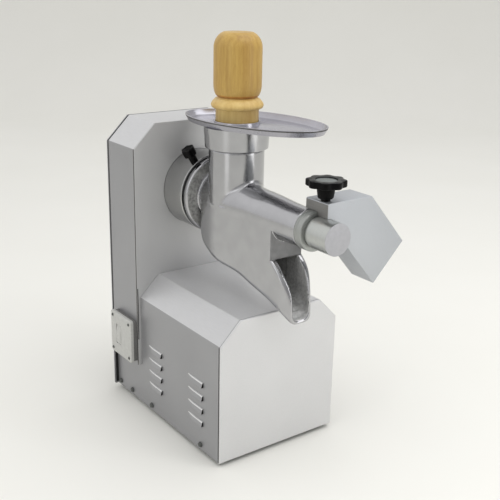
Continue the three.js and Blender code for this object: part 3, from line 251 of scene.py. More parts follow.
# group, stretch or scale of its noise, two tones, least and greatest roughness, metal, bump, gloss if not 0.5
finishes = {
    # painted shade: this copy of the brushed sheet, for the sides, is darker than the top and front copies
    "sideSheet": ("brushed", (60, 1500, 1500), "#a2a2a4", "#9b9b9d", 0.36, 0.44, 0.5, 0.03),
    # painted light: lighter copy of the brushed sheet for upward faces
    "topSheet": ("brushed", (1500, 60, 1500), "#cfcfd0", "#c9c9ca", 0.34, 0.42, 0.5, 0.03),
    # painted light: brightest copy of the brushed sheet, for the low front plate
    "frontSheet": ("brushed", (1500, 60, 1500), "#dededf", "#d7d7d8", 0.36, 0.44, 0.5, 0.03),
    # painted light: lighter copy for the low housing's flat top, offsetting the shade under the head
    "lowTop": ("brushed", (1500, 60, 1500), "#dfdfe0", "#d9d9da", 0.34, 0.42, 0.5, 0.03),
    # painted highlight: near-white copy for the louvres' top edges
    "brightEdge": ("brushed", (60, 1500, 1500), "#e6e6e6", "#dedede", 0.3, 0.4, 0.3, 0.03),
    # painted shade: darker copy of the brushed sheet for the tall front
    "dullFront": ("brushed", (1500, 60, 1500), "#c6c6c6", "#bfbfbf", 0.4, 0.48, 0.4, 0.03),
    "chuteSheet": ("brushed", (1500, 60, 1500), "#bbbec2", "#b3b6ba", 0.42, 0.5, 0.6, 0.03),
    "polishedCast": ("mottled", 45, "#b3b3b5", "#aeaeb0", 0.17, 0.21, 1.0, 0.03),
    "roughCast": ("mottled", 260, "#b4b4b2", "#8d8d8b", 0.4, 0.6, 0.7, 0.6),
    "trayPolish": ("mottled", 14, "#b3b2b9", "#acabb2", 0.2, 0.28, 0.8, 0.02),
    "mattRing": ("brushed", (40, 2200, 40), "#a8aaa7", "#9d9f9c", 0.36, 0.44, 0.7, 0.04),
    "mattTube": ("brushed", (40, 2200, 40), "#bfc1be", "#b6b8b5", 0.26, 0.34, 0.85, 0.04),
    # painted shade: darker copy of the chute sheet for its left flank
    "chuteFlank": ("brushed", (1500, 60, 1500), "#838280", "#7a7977", 0.4, 0.5, 0.6, 0.03),
    "collarSteel": ("brushed", (40, 2200, 40), "#bcbcbb", "#b0b0af", 0.18, 0.26, 1.0, 0.04),
    "discFace": ("mottled", 200, "#b2b2b6", "#aeaeb2", 0.42, 0.5, 0.3, 0.02),
    "shadedCast": ("mottled", 120, "#868687", "#7e7e7f", 0.4, 0.5, 0.5, 0.1),
    "galvanised": ("mottled", 90, "#9da0a2", "#868a8d", 0.4, 0.6, 0.85, 0.05),
    "machinedSteel": ("brushed", (80, 1900, 80), "#9fa1a4", "#85888c", 0.22, 0.4, 1.0, 0.08),
    "motorPaint": ("mottled", 500, "#33414e", "#2a3641", 0.42, 0.56, 0.0, 0.12),
    "blackPlastic": ("mottled", 420, "#060607", "#030303", 0.3, 0.4, 0.0, 0.06, 0.1),
    # painted sheen: dark grey on the knob's upward top faces
    "knobRim": ("mottled", 420, "#2b2d2c", "#252726", 0.3, 0.4, 0.0, 0.06, 0.2),
    # painted highlight: mid grey in the knob's dish
    "knobDish": ("mottled", 420, "#737876", "#6a6f6d", 0.3, 0.4, 0.0, 0.06, 0.3),
    "innerCast": ("mottled", 240, "#cfcfce", "#b4b4b3", 0.45, 0.6, 0.3, 0.4),
    "seamShade": ("mottled", 300, "#605f5d", "#525150", 0.5, 0.6, 0.3, 0.02),
    "palePlastic": ("mottled", 300, "#c3c3bf", "#bcbcb8", 0.4, 0.5, 0.0, 0.03),
    "greyPlastic": ("mottled", 300, "#757472", "#6c6b69", 0.45, 0.55, 0.0, 0.04),
    "blackRubber": ("mottled", 600, "#1d1d1d", "#141414", 0.7, 0.88, 0.0, 0.15),
    "whiteSilicone": ("mottled", 200, "#dcdad4", "#d2d0ca", 0.5, 0.6, 0.0, 0.03),
    "darkScrew": ("mottled", 700, "#6a6c6a", "#545654", 0.3, 0.45, 0.8, 0.1),
    # painted shade: near-black copy set into gaps and openings that fall in shade
    "darkGap": ("mottled", 300, "#191918", "#101010", 0.7, 0.8, 0.0, 0.02),
}


def makeMaterial(name, group, values, bumpStrength):
    material = bpy.data.materials.new(name)
    material.use_nodes = True
    n = Nodes(material.node_tree)
    shader = n.tree.nodes["Principled BSDF"]
    effect = n.add("ShaderNodeGroup", node_tree=groups[group])
    for key, value in values.items():
        effect.inputs[key].default_value = value
    bump = n.add("ShaderNodeBump",
                 {"Height": effect.outputs["Height"], "Strength": bumpStrength, "Distance": bumpDistance})
    n.tree.links.new(effect.outputs["Colour"], shader.inputs["Base Color"])
    n.tree.links.new(effect.outputs["Roughness"], shader.inputs["Roughness"])
    n.tree.links.new(bump.outputs[0], shader.inputs["Normal"])
    finish[name] = material
    return shader


bumpDistance = 0.0004
finish = {}
for name, (group, size, toneA, toneB, low, high, metal, bump, *gloss) in finishes.items():
    values = {"Colour A": rgb(toneA), "Colour B": rgb(toneB), "Low": low, "High": high,
              "Across" if group == "brushed" else "Scale": size}
    shader = makeMaterial(name, group, values, bump)
    shader.inputs["Metallic"].default_value = metal
    shader.inputs["Specular IOR Level"].default_value = gloss[0] if gloss else 0.5

# the pale wood is partly the stem's own lighter tone and partly painted light that offsets the shade inside
# the tray
woods = {"turnedWood": ("#c9a657", "#a8813a"), "paleWood": ("#e4c882", "#caa55c"),
         "amberWood": ("#b98743", "#96652e")}
for name, (light, dark) in woods.items():
    values = {"Light": rgb(light), "Dark": rgb(dark), "Centre": at(-14, -96, 0)}
    makeMaterial(name, "wood", values, 0.2).inputs["Coat Weight"].default_value = 0.15
print("materials made")


# Mesh helpers: all points in machine millimetres

def quarter(count):  # angles over a quarter turn
    return np.linspace(0, pi / 2, count)


def bend(r, place, edge):  # the rounded corner of a turned profile
    return [(r - edge + edge * cos(t), place + edge - edge * sin(t)) for t in quarter(6)]


def makePiece(name, points, faces, material, body, nodes, smoothAngle=35, slot=None):
    mesh = bpy.data.meshes.new(name)
    mesh.from_pydata([at(*p) for p in points], [], faces)
    mesh.materials.append(finish[material])
    piece = bpy.data.objects.new(name, mesh)
    bpy.context.scene.collection.objects.link(piece)
    bm = bmesh.new()
    bm.from_mesh(mesh)
    bmesh.ops.recalc_face_normals(bm, faces=bm.faces)
    bm.to_mesh(mesh)
    bm.free()
    mesh.polygons.foreach_set("use_smooth", [True] * len(mesh.polygons))
    mesh.set_sharp_from_angle(angle=radians(smoothAngle))
    mesh.update()
    if nodes:
        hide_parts(*nodes)
    piece["body"] = body
    return piece


def paintWhere(piece, name, test):
    piece.data.materials.append(finish[name])
    last = len(piece.data.materials) - 1
    for polygon in piece.data.polygons:
        if test([c * 1000 - o for c, o in zip(polygon.center, [v * 1000 for v in at(0, 0, 0)])],
                polygon.normal):
            polygon.material_index = last


def rideAll():
    for piece in list(bpy.data.objects):
        if piece.type == "MESH" and "body" in piece:
            body = piece["body"]
            del piece["body"]
            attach(piece, body)


# Each corner of an outline becomes an arc
def filleted(points, radii, steps=5, closed=True):
    count = len(points)
    made = []
    for i, p in enumerate(points):
        r = radii[i] if isinstance(radii, (list, tuple)) else radii
        if r == 0 or (not closed and i in (0, count - 1)):
            made.append(tuple(p))
            continue
        here = Vector(p)
        before = (Vector(points[i - 1]) - here).normalized()
        after = (Vector(points[(i + 1) % count]) - here).normalized()
        half = before.angle(after) / 2
        reach = r / tan(half)
        middle = here + (before + after).normalized() * (r / sin(half))
        first = here + before * reach - middle
        last = here + after * reach - middle
        whole = first.angle(last)
        for k in range(steps + 1):
            t = k / steps
            arm = (first * sin((1 - t) * whole) + last * sin(t * whole)) / sin(whole)
            made.append(tuple(middle + arm))
    return made


# An anticlockwise outline shrinks
def inset(points, distance, closed=True):
    count = len(points)
    made = []
    for i in range(count):
        here = Vector(points[i])
        before = Vector(points[i - 1]) if (closed or i > 0) else None
        after = Vector(points[(i + 1) % count]) if (closed or i < count - 1) else None
        a = (here - before).normalized() if before else (after - here).normalized()
        b = (after - here).normalized() if after else a
        normal = Vector((-a.y - b.y, a.x + b.x)).normalized()
        lean = normal.dot(Vector((-a.y, a.x)))
        made.append(tuple(here + normal * (distance / max(lean, 0.3))))
    return made


# Faces over loops with equal numbers of points
def skin(loops, closed=True, capStart=False, capEnd=False):
    count = len(loops[0])
    points = [p for loop in loops for p in loop]
    faces = []
    span = count if closed else count - 1
    for s in range(len(loops) - 1):
        for i in range(span):
            j = (i + 1) % count
            a, b = s * count + i, s * count + j
            faces.append((a, b, b + count, a + count))
    if capStart:
        faces.append(tuple(range(count)))
    if capEnd:
        faces.append(tuple(reversed(range((len(loops) - 1) * count, len(loops) * count))))
    return points, faces


def solid(loops):
    return skin(loops, capStart=True, capEnd=True)


def merged(*parts):
    points, faces = [], []
    for morePoints, moreFaces in parts:
        start = len(points)
        points += list(morePoints)
        faces += [tuple(i + start for i in face) for face in moreFaces]
    return points, faces


# Pairs of radius and place; a zero radius closes an end
def turned(profile, axis, centre, sides=96):
    loops = []
    cx, cy, cz = centre
    for r, p in profile:
        loop = []
        for i in range(sides):
            t = 2 * pi * i / sides
            u, v = max(r, 0.0) * cos(t), max(r, 0.0) * sin(t)
            loop.append((cx + u, p, cz + v) if axis == "y" else
                        (cx + u, cy + v, p) if axis == "z" else (p, cy + u, cz + v))
        loops.append(loop)
    points, faces = skin(loops)
    made = []
    for face in faces:
        kept = []
        for i in face:
            key = i // sides * sides if profile[i // sides][0] <= 0 else i
            if key not in kept:
                kept.append(key)
        if len(kept) > 2:
            made.append(tuple(kept))
    return points, made


def rod(r, start, end, axis, place, sides):
    return turned([(0, start), (r, start), (r, end), (0, end)], axis, place, sides)


def box(x0, x1, y0, y1, z0, z1):
    points = [(x, y, z) for x in (x0, x1) for y in (y0, y1) for z in (z0, z1)]
    faces = [(0, 1, 3, 2), (4, 6, 7, 5), (0, 4, 5, 1), (2, 3, 7, 6), (0, 2, 6, 4), (1, 5, 7, 3)]
    return points, faces


def carve(piece, *cutters):
    for points, faces in cutters:
        mesh = bpy.data.meshes.new("cutter")
        mesh.from_pydata([at(*p) for p in points], [], faces)
        tool = bpy.data.objects.new("cutter", mesh)
        bpy.context.scene.collection.objects.link(tool)
        bm = bmesh.new()
        bm.from_mesh(mesh)
        bmesh.ops.recalc_face_normals(bm, faces=bm.faces)
        bm.to_mesh(mesh)
        bm.free()
        cut = piece.modifiers.new("cut", "BOOLEAN")
        cut.object = tool
        cut.operation = "DIFFERENCE"
        cut.solver = "EXACT"
        bpy.context.view_layer.update()
        done = bpy.data.meshes.new_from_object(piece.evaluated_get(bpy.context.evaluated_depsgraph_get()))
        piece.modifiers.clear()
        piece.data = done
        bpy.data.objects.remove(tool)
    done.polygons.foreach_set("use_smooth", [True] * len(done.polygons))
    done.set_sharp_from_angle(angle=radians(35))


# Sheet metal casings

sheetMetal = {"wall": 1.5, "fold": 3.0, "frontEdge": 1.6}
lowCasing = {"half": 105.0, "bottom": 6.0, "top": 222.0, "chamfer": 33.5, "front": -224.5, "rear": -0.3,
             "skirtTop": 73.0, "skirtRear": 82.5, "seam": 0.8, "sideSeam": 2.8, "seamDepth": 0.9}
tallCasing = {"half": 111.0, "bottom": 73.3, "top": 462.0, "chamfer": 37.0, "rear": 80.0, "seam": 0.0,
              # the rear band and the strips are dark pieces painted as shade in gaps
              "collarHole": 60.3, "rearGapShadeDepth": 1.0, "rearGapShadeEnd": 82.7,
              "strips": ((108.6, 110.0, (-0.12, 0.1), (118, 204)), (105.2, 109.4, (82.3, 82.75), (9, 72)))}


def housePath(half, bottom, top, chamfer):
    return [(half, bottom), (half, top - chamfer), (half - chamfer, top),
            (-half + chamfer, top), (-half, top - chamfer), (-half, bottom)]


# One folded sheet, open below, and its front plate
def foldedHood(s, front, rear):
    wall, fold, edge = sheetMetal["wall"], sheetMetal["fold"], sheetMetal["frontEdge"]
    path = housePath(s["half"], s["bottom"], s["top"], s["chamfer"])
    outer = filleted(path, fold, steps=6, closed=False)
    inner = inset(outer, wall, closed=False)
    band = outer + inner[::-1]
    hoodFront = front + wall + 0.6 + s.get("sideSeam", 0)
    hood = solid([[(x, hoodFront, z) for x, z in band], [(x, rear, z) for x, z in band]])
    loops = []
    for k in range(6):
        turn = pi / 2 * k / 5
        ring = inset(outer, edge * (1 - sin(turn)))
        loops.append([(x, front + edge * (1 - cos(turn)), z) for x, z in ring])
    plateEnd = front + wall + 0.6
    loops.append([(x, plateEnd, z) for x, z in outer])
    plate = solid(loops)
    return hood, plate, outer, plateEnd, hoodFront


# Dark recess behind the front plate, wide down the sides
def makeSeam(s, outer, start, end):
    depth, thin = s["seamDepth"], s["seam"]
    side = lambda x, z: abs(abs(x) - s["half"]) < 0.01 and z < s["top"] - s["chamfer"] - 2
    groove = inset(outer, depth, closed=False)
    deep = inset(outer, depth + 0.4, closed=False)
    dark = skin([[(x, start - 0.1, z) for x, z in groove], [(x, end + 0.1, z) for x, z in groove],
                 [(x, end + 0.1, z) for x, z in deep], [(x, start - 0.1, z) for x, z in deep]],
                 closed=False)
    makePiece("frontSeam", *dark, "seamShade", "base", [], slot="brushed_sheet")
    lip = [(x, z) for x, z in outer if not side(x, z)]
    inner = inset(lip, sheetMetal["wall"], closed=False)
    band = lip + inner[::-1]
    return solid([[(x, start + thin, z) for x, z in band], [(x, end + 0.05, z) for x, z in band]])


def makeLowCasing(s):
    wall = sheetMetal["wall"]
    hood, plate, outer, start, end = foldedHood(s, s["front"], s["rear"])
    parts = [hood, makeSeam(s, outer, start, end)]
    for side in (-1, 1):
        x = sorted((side * s["half"], side * (s["half"] - wall)))
        parts.append(box(x[0], x[1], s["rear"], s["skirtRear"], s["bottom"], s["skirtTop"]))
    # the hood takes the darker side copy, painted shade; its chamfers and top are repainted lighter below
    piece = makePiece("lowCasing", *merged(*parts), "sideSheet", "base", ["low_housing"],
                      slot="brushed_sheet")
    # the chamfers are painted lighter as light from above
    paintWhere(piece, "topSheet", lambda c, n: n[2] > 0.5 and abs(n[0]) > 0.2)
    # the flat top under the head is painted lighter, offsetting its shade
    paintWhere(piece, "lowTop", lambda c, n: c[2] > 190 and n[2] > 0.9)
    # the low front plate is painted bright as lit
    makePiece("lowFront", *plate, "frontSheet", "base", [], slot="brushed_sheet")


def makeTallCasing(s):
    hood, plate, outer, _, _ = foldedHood(s, 0.0, s["rear"])
    # the tall casing's sides take the darker side copy, painted shade
    piece = makePiece("tallCasing", *hood, "sideSheet", "base", ["tall_casing"], slot="brushed_sheet")
    # the top and chamfers are painted lighter as light from above
    paintWhere(piece, "topSheet", lambda c, n: n[2] > 0.5)
    # the tall front plate is painted darker as shade
    piece = makePiece("tallFront", *plate, "dullFront", "base", [], slot="brushed_sheet")
    paintWhere(piece, "seamShade", lambda c, n: abs(n[0]) > 0.6 and c[2] < s["top"] - s["chamfer"])
    hole = turned([(0, -9), (s["collarHole"], -9), (s["collarHole"], 9), (0, 9)], "y", (0, 0, axisHeight))
    carve(piece, hole)
    # a dark band in the gap to the back cover and dark strips on the step faces stand for shade: painted
    # shade
    groove = inset(outer, s["rearGapShadeDepth"], closed=False)
    band = groove + inset(outer, s["rearGapShadeDepth"] + 0.8, closed=False)[::-1]
    rearGapShade = solid([[(x, s["rear"] - 0.5, z) for x, z in band], [(x, s["rearGapShadeEnd"], z) for x, z in band]])
    strips = [box(*sorted((side * inside, side * outside)), *y, *z) for side in (-1, 1)
              for inside, outside, y, z in s["strips"]]
    makePiece("casingSeams", *merged(rearGapShade, *strips), "darkGap", "base", [], slot="dark_screw")


backCover = {"half": 112.0, "bottom": 6.0, "top": 462.0, "chamfer": 37.0, "front": 82.8, "corner": 2.5,
             "edge": 0.7}


def makeBackCover(s):
    outer = filleted(housePath(s["half"], s["bottom"], s["top"], s["chamfer"]), s["corner"], steps=5)
    edge = s["edge"]
    loops = []
    for k in range(4):
        turn = pi / 2 * k / 3
        ring = inset(outer, edge * (1 - sin(turn)))
        loops.append([(x, tallDepth - edge * (1 - cos(turn)), z) for x, z in ring])
    loops.append([(x, s["front"], z) for x, z in outer])
    # the back cover takes the darker side copy, painted shade
    makePiece("backCover", *solid(loops), "sideSheet", "base", ["back_cover"], slot="brushed_sheet")


makeLowCasing(lowCasing)
makeTallCasing(tallCasing)
makeBackCover(backCover)
print("casings made")


# Louvres on both sides, pressed out and open towards the front

louvre = {"length": 40.0, "pitch": 21.0, "rows": 4, "top": 109.0, "columns": (-45.0, -161.0),
          "height": 8.0, "stand": 3.4}


def makeLouvres(s):
    shells, mouthShades = [], []
    half = lowCasing["half"]
    for side in (-1, 1):
        for y in s["columns"]:
            for row in range(s["rows"]):
                z = s["top"] - row * s["pitch"]
                loops, steps = [], 10
                for k in range(steps + 1):
                    t = k / steps
                    swell = sin(min(t * 2.2, 1.0) * pi / 2)
                    stand = 0.3 + (s["stand"] - 0.3) * swell
                    tall = s["height"] * (0.25 + 0.75 * swell)
                    place = y + s["length"] / 2 - s["length"] * t
                    top = z + s["height"]
                    x = lambda d: side * (half + d)
                    loops.append([(x(-0.2), place, top), (x(0.4 * stand), place, top - 0.2),
                                  (x(0.6 * stand), place, top - 1.7), (x(stand), place, top - tall + 0.6),
                                  (x(stand * 0.9), place, top - tall), (x(-0.2), place, top - tall)])
                shells.append(skin(loops, capStart=True))
                # a dark block fills each louvre's front opening: painted shade
                place = y - s["length"] / 2
                mouth = [(side * (half - 0.1), place - 0.05, z + s["height"] - 0.8),
                         (side * (half + 0.45 * s["stand"] - 0.3), place - 0.05, z + s["height"] - 1.4),
                         (side * (half + s["stand"] - 0.5), place - 0.05, z + 0.5),
                         (side * (half - 0.1), place - 0.05, z + 0.5)]
                back = [(px, place + 6.0, pz) for px, _, pz in mouth]
                mouthShades.append(solid([mouth, back]))
    # the louvre hoods take the darker side copy, painted shade
    piece = makePiece("louvreHoods", *merged(*shells), "sideSheet", "base", [], smoothAngle=30,
                      slot="brushed_sheet")
    tops = [s["top"] - row * s["pitch"] + s["height"] for row in range(s["rows"])]
    # the top edge of each louvre is painted as a highlight
    paintWhere(piece, "brightEdge", lambda c, n: any(top - 1.1 < c[2] for top in tops if c[2] < top + 0.1))
    # the dark mouth blocks are painted shade
    makePiece("louvreMouths", *merged(*mouthShades), "darkGap", "base", [], slot="dark_screw")


makeLouvres(louvre)
print("louvres made")


# Press head: one cast body, from distance fields that blend where tube, barrel and belly meet

head = {
    "spigot": (-24.3, -50.3, 44.0), "shoulder": (-50.3, -54.0, 52.0), "flange": (-54.0, -64.0, 59.0),
    "barrel": [(-64, 36.9), (-70, 38.8), (-79, 40), (-120, 40), (-152, 31.6), (-200, 31.2), (-224, 28),
               (-276.1, 26.8)],
    "thread": (-276.1, -284.4, 24.0),
    "bore": [(-60, 35.5), (-120, 35.5), (-152, 27), (-200, 26), (-224, 21), (-285, 21)],
    "tubeY": -107.0, "tubeRadius": 39.0, "tubeStep": 1.6, "tubeBore": 34.0, "tubeTop": 467.7,
    "belly": [(-66, 39.6, 318), (-71, 40, 299), (-79, 40, 283), (-103, 40, 269), (-120, 39.6, 266),
              (-137, 35.4, 263), (-152, 31.5, 259.5), (-183, 31, 251), (-222, 28.5, 240), (-243, 28, 232),
              (-256, 25, 224), (-268, 16, 210)],
    "round": 12.0, "wall": 3.5, "wallFront": -231.0, "spoutTop": 303.0, "tip": (-267, 210),
    "bulge": (-272, 276), "window": (16, -205, -125), "blend": 7.0, "rearRound": 10.0, "side": 1.5,
    "rim": (-214.0, -238.0), "rimHeights": [(235, 4.5), (262, 6.0), (284, 7.5), (303, 10.0)],
    "holes": [(15.0, 0, -62), (21.0, 0, -57.3)], "disc": (-62.8, -66, 41.5, 57), "rear": -60, "nose": -268,
    "barrelEnd": -276.1, "boreEnd": -290,
    "low": (-62, -290, 206), "high": (62, -20, 472), "cell": 1.5,
}


def smoothMin(a, b, k):
    h = np.maximum(k - np.abs(a - b), 0) / np.maximum(k, 1e-6)
    return np.minimum(a, b) - h * h * k * 0.25


def smoothMax(a, b, k):
    return -smoothMin(-a, -b, k)


def along(stations, y, column, soften=0.0):
    places = [s[0] for s in stations][::-1]
    values = [s[column] for s in stations][::-1]
    return sum(np.interp(y + soften * d, places, values) for d in (-1.0, -0.5, 0.0, 0.5, 1.0)) / 5


def roundCorner(a, b, radius):
    p, q = a + radius, b + radius
    return np.hypot(np.maximum(p, 0), np.maximum(q, 0)) + np.minimum(np.maximum(p, q), 0) - radius


def bellyField(s, x, y, z, wall, reach):
    half = along(s["belly"], y, 1, 9.0) - wall
    bottom = along(s["belly"], y, 2, np.clip((-70 - y) / 4, 0, 9)) + wall
    corner = roundCorner(np.abs(x) - half, bottom - z, np.minimum(s["round"], half * 0.8))
    rear = roundCorner(corner, y + 66 + np.minimum(wall, 4), s["rearRound"])
    return np.maximum(np.maximum(rear, z - axisHeight), s["nose"] - reach - y)


def headDisc(part, r, y, soft):
    return smoothMax(r - part[2], np.maximum(y - part[0], part[1] - y), soft)


def headOutside(x, y, z, s=head):
    r = np.sqrt(x * x + (z - axisHeight) ** 2) + 1e-6
    barrel = smoothMax(r - along(s["barrel"], y, 1, 20.0), np.maximum(y - s["rear"], s["barrelEnd"] - y), 1.8)
    rho = np.sqrt(x * x + (y - s["tubeY"]) ** 2) + 1e-6
    tubeRadius = s["tubeRadius"] + s["tubeStep"] * np.clip((436.4 - z) / 2, 0, 1)
    tube = smoothMax(rho - tubeRadius, np.maximum(z - s["tubeTop"], axisHeight - z), 1.0)
    t = np.linspace(0, 1, 24)
    p0, p1, p2 = (s["wallFront"], s["spoutTop"]), s["bulge"], s["tip"]
    cy = (1 - t) ** 2 * p0[0] + 2 * t * (1 - t) * p1[0] + t * t * p2[0]
    cz = (1 - t) ** 2 * p0[1] + 2 * t * (1 - t) * p1[1] + t * t * p2[1]
    edge = np.interp(z, cz[::-1], cy[::-1])
    mouth = np.where(z > s["spoutTop"], s["wallFront"] - y, (edge - y) * 0.8)
    belly = smoothMax(bellyField(s, x, y, z, 0, 0), mouth, 5.0)
    parallel = np.abs(x * x / (r * rho))
    body = smoothMin(barrel, belly,
                     s["side"] * np.clip((-y - 60) / 12, 0, 1) * np.clip((150 + y) / 30, 0, 1) + 0.01)
    body = smoothMin(body, tube, s["blend"] * (1 - np.clip(parallel, 0, 1)) + 0.01)
    body = smoothMin(body, headDisc(s["flange"], r, y, 3.5), 2.5)
    for part, soft in (("shoulder", 1.0), ("spigot", 1.0), ("thread", 0.6)):
        body = np.minimum(body, headDisc(s[part], r, y, soft))
    return body


def headHollow(x, y, z, s=head):
    r = np.sqrt(x * x + (z - axisHeight) ** 2) + 1e-6
    rho = np.sqrt(x * x + (y - s["tubeY"]) ** 2) + 1e-6
    bore = np.maximum(r - along(s["bore"], y, 1), np.maximum(y - s["rear"], s["boreEnd"] - y))
    holes = [np.maximum(r - radius, np.maximum(y - rear, front - y)) for radius, rear, front in s["holes"]]
    well = np.maximum(rho - s["tubeBore"], axisHeight - z)
    half, front, rear = s["window"]
    slot = np.maximum(np.maximum(np.abs(x) - half, np.maximum(y - rear, front - y)),
                      np.maximum(z - axisHeight, 300 - z))
    start, end = s["rim"]
    heights, thick = zip(*s["rimHeights"])
    share = np.clip((start - y) / (start - end), 0, 1)
    wall = s["wall"] + (np.interp(z, heights, thick) - s["wall"]) * share * share * (3 - 2 * share)
    trough = bellyField(s, x, y, z, wall, 12)
    shut = np.where((y < s["wallFront"] + s["wall"]) & (z > s["spoutTop"] - 2),
                    np.minimum(s["wallFront"] + s["wall"] - y, z - s["spoutTop"]) + 0.5, -9)
    trough = np.maximum(trough, shut)
    trough = np.maximum(trough, -(r - 31.6 - 3) * np.where(r < 40, 1, 0))
    return np.minimum.reduce([bore, *holes, well, slot, trough])


def headDistance(x, y, z):
    return smoothMax(headOutside(x, y, z), -headHollow(x, y, z), 1.2)


# One point per crossed cell, one quad per crossed edge
def surfaceFromField(field, low, high, cell):
    axes = [np.arange(l, h + cell, cell) for l, h in zip(low, high)]
    gx, gy, gz = np.meshgrid(*axes, indexing="ij")
    value = field(gx, gy, gz)
    inside = value < 0
    shape = np.array(value.shape) - 1
    total = np.zeros((*shape, 3))
    hits = np.zeros(shape)
    corner = lambda dx, dy, dz: (slice(dx, dx + shape[0]), slice(dy, dy + shape[1]),
                                 slice(dz, dz + shape[2]))
    for a in range(3):
        b, c = [k for k in range(3) if k != a]
        for db in (0, 1):
            for dc in (0, 1):
                start = [0, 0, 0]
                start[b], start[c] = db, dc
                stop = list(start)
                stop[a] = 1
                v0, v1 = value[corner(*start)], value[corner(*stop)]
                cross = (v0 < 0) != (v1 < 0)
                t = np.where(cross, v0 / np.where(cross, v0 - v1, 1), 0)
                for k in range(3):
                    total[..., k] += np.where(cross, (t if k == a else start[k]), 0)
                hits += cross
    used = hits > 0
    number = np.full(shape, -1)
    number[used] = np.arange(used.sum())
    cells = np.argwhere(used)
    points = (cells + total[used] / hits[used][:, None]) * cell + np.array(low)
    quads = []
    for a in range(3):
        b, c = [k for k in range(3) if k != a]
        first = [slice(None)] * 3
        second = [slice(None)] * 3
        first[a], second[a] = slice(0, -1), slice(1, None)
        change = inside[tuple(first)] != inside[tuple(second)]
        places = np.argwhere(change)
        ok = (places[:, b] > 0) & (places[:, c] > 0) & (places[:, b] < shape[b]) & (places[:, c] < shape[c])
        places = places[ok]
        flip = inside[tuple(first)][tuple(places.T)]
        ring = []
        for db, dc in ((-1, -1), (0, -1), (0, 0), (-1, 0)):
            moved = places.copy()
            moved[:, b] += db
            moved[:, c] += dc
            ring.append(number[tuple(moved.T)])
        ring = np.stack(ring, 1)
        ring[flip] = ring[flip][:, ::-1]
        if a == 1:
            ring = ring[:, ::-1]
        quads.append(ring)
    quads = np.concatenate(quads)
    return points, quads[(quads >= 0).all(1)]


def fieldSlope(field, points, step):
    slope = np.zeros_like(points)
    for k in range(3):
        d = np.zeros(3)
        d[k] = step
        slope[:, k] = (field(*(points + d).T) - field(*(points - d).T)) / (2 * step)
    return slope / np.maximum(np.linalg.norm(slope, axis=1, keepdims=True), 1e-6)


def makeHead(s):
    points, quads = surfaceFromField(headDistance, s["low"], s["high"], s["cell"])
    for _ in range(3):
        slope = fieldSlope(headDistance, points, 0.3)
        move = np.clip(headDistance(*points.T), -0.8, 0.8)
        points = points - slope * move[:, None] * 0.8
    faces = [tuple(int(i) for i in q) for q in quads]
    piece = makePiece("pressHead", points.tolist(), faces, "polishedCast", "head", ["head_body"],
                      smoothAngle=60, slot="cast_polished")
    middles = points[quads].mean(axis=1)
    r = np.hypot(middles[:, 0], middles[:, 2] - axisHeight)
    inner = headOutside(*middles.T) < -1.0
    start, end, least, most = s["disc"]
    disc = (middles[:, 1] < start) & (middles[:, 1] > end) & (r > least) & (r < most)
    shaded = ((middles[:, 1] < s["wallFront"] + 2.2) & (middles[:, 2] > s["spoutTop"] - 1) &
              (r > 29.0) & ~inner)
    shaded &= middles[:, 1] > s["wallFront"] - 2.0
    for name in ("innerCast", "roughCast", "shadedCast"):
        piece.data.materials.append(finish[name])
    piece.data.polygons.foreach_set("material_index", inner * 1 + (disc & ~inner) * 2 + shaded * 3)
    print("head points", len(points), "faces", len(faces))


makeHead(head)
print("press head made")


# Turned steel pieces

collar = {"bore": 20.0, "hub": 26.3, "seat": 44.3, "outer": 60.0, "rear": 1.5, "front": -50.0,
          "shelf": -24.0,
          "neck": -6.0, "edge": 1.2, "lip": 0.6}


def makeCollar(s):
    outer, front, edge, seat, lip = s["outer"], s["front"], s["edge"], s["seat"], s["lip"]
    profile = [(s["bore"], s["rear"]), (outer, s["rear"])]
    profile += bend(outer, front, edge)
    profile += [(seat + lip, front), (seat, front + lip), (seat, s["shelf"]), (s["hub"], s["shelf"]),
                (s["hub"], s["neck"]), (s["bore"], s["neck"]), (s["bore"], s["rear"])]
    makePiece("mountCollar", *turned(profile, "y", (0, 0, axisHeight), 128), "collarSteel", "base",
              ["mount_collar"], slot="cast_polished")


noseRing = {"thread": 24.3, "outer": 27.6, "rear": -276.4, "groove": (-281.2, -283.0, 0.5), "front": -291.0,
            "edge": 1.5, "bore": 20.7, "shelf": -288.0}


def makeRing(s):
    r, edge, rear, front = s["outer"], s["edge"], s["rear"], s["front"]
    start, end, deep = s["groove"]
    profile = [(s["thread"], rear), (r - 1.1, rear), (r - 0.3, rear - 0.4), (r, rear - 1.1), (r, start),
               (r - deep, start - deep), (r - deep, end + deep), (r, end)]
    profile += bend(r, front, edge)
    profile += [(s["bore"] + 0.2, front), (s["bore"], front + 0.2), (s["bore"], s["shelf"]),
                (s["thread"], s["shelf"]), (s["thread"], rear)]
    makePiece("noseRing", *turned(profile, "y", (0, 0, axisHeight), 96), "mattRing", "ring", ["nose_ring"],
              slot="cast_polished")


nozzle = {"radius": 22.0, "bore": 18.0, "front": -334.0, "neck": 20.4, "neckFront": -294.8, "rear": -284.7,
          "flange": 24.0, "flangeFront": -287.7, "cap": 2.5, "edge": 0.7,
          "boss": (7.8, -297.3, 5.8), "bossTop": 396.2, "bossFoot": 19.5,
          "slot": (8, 27, -309, -296, 352, 366)}


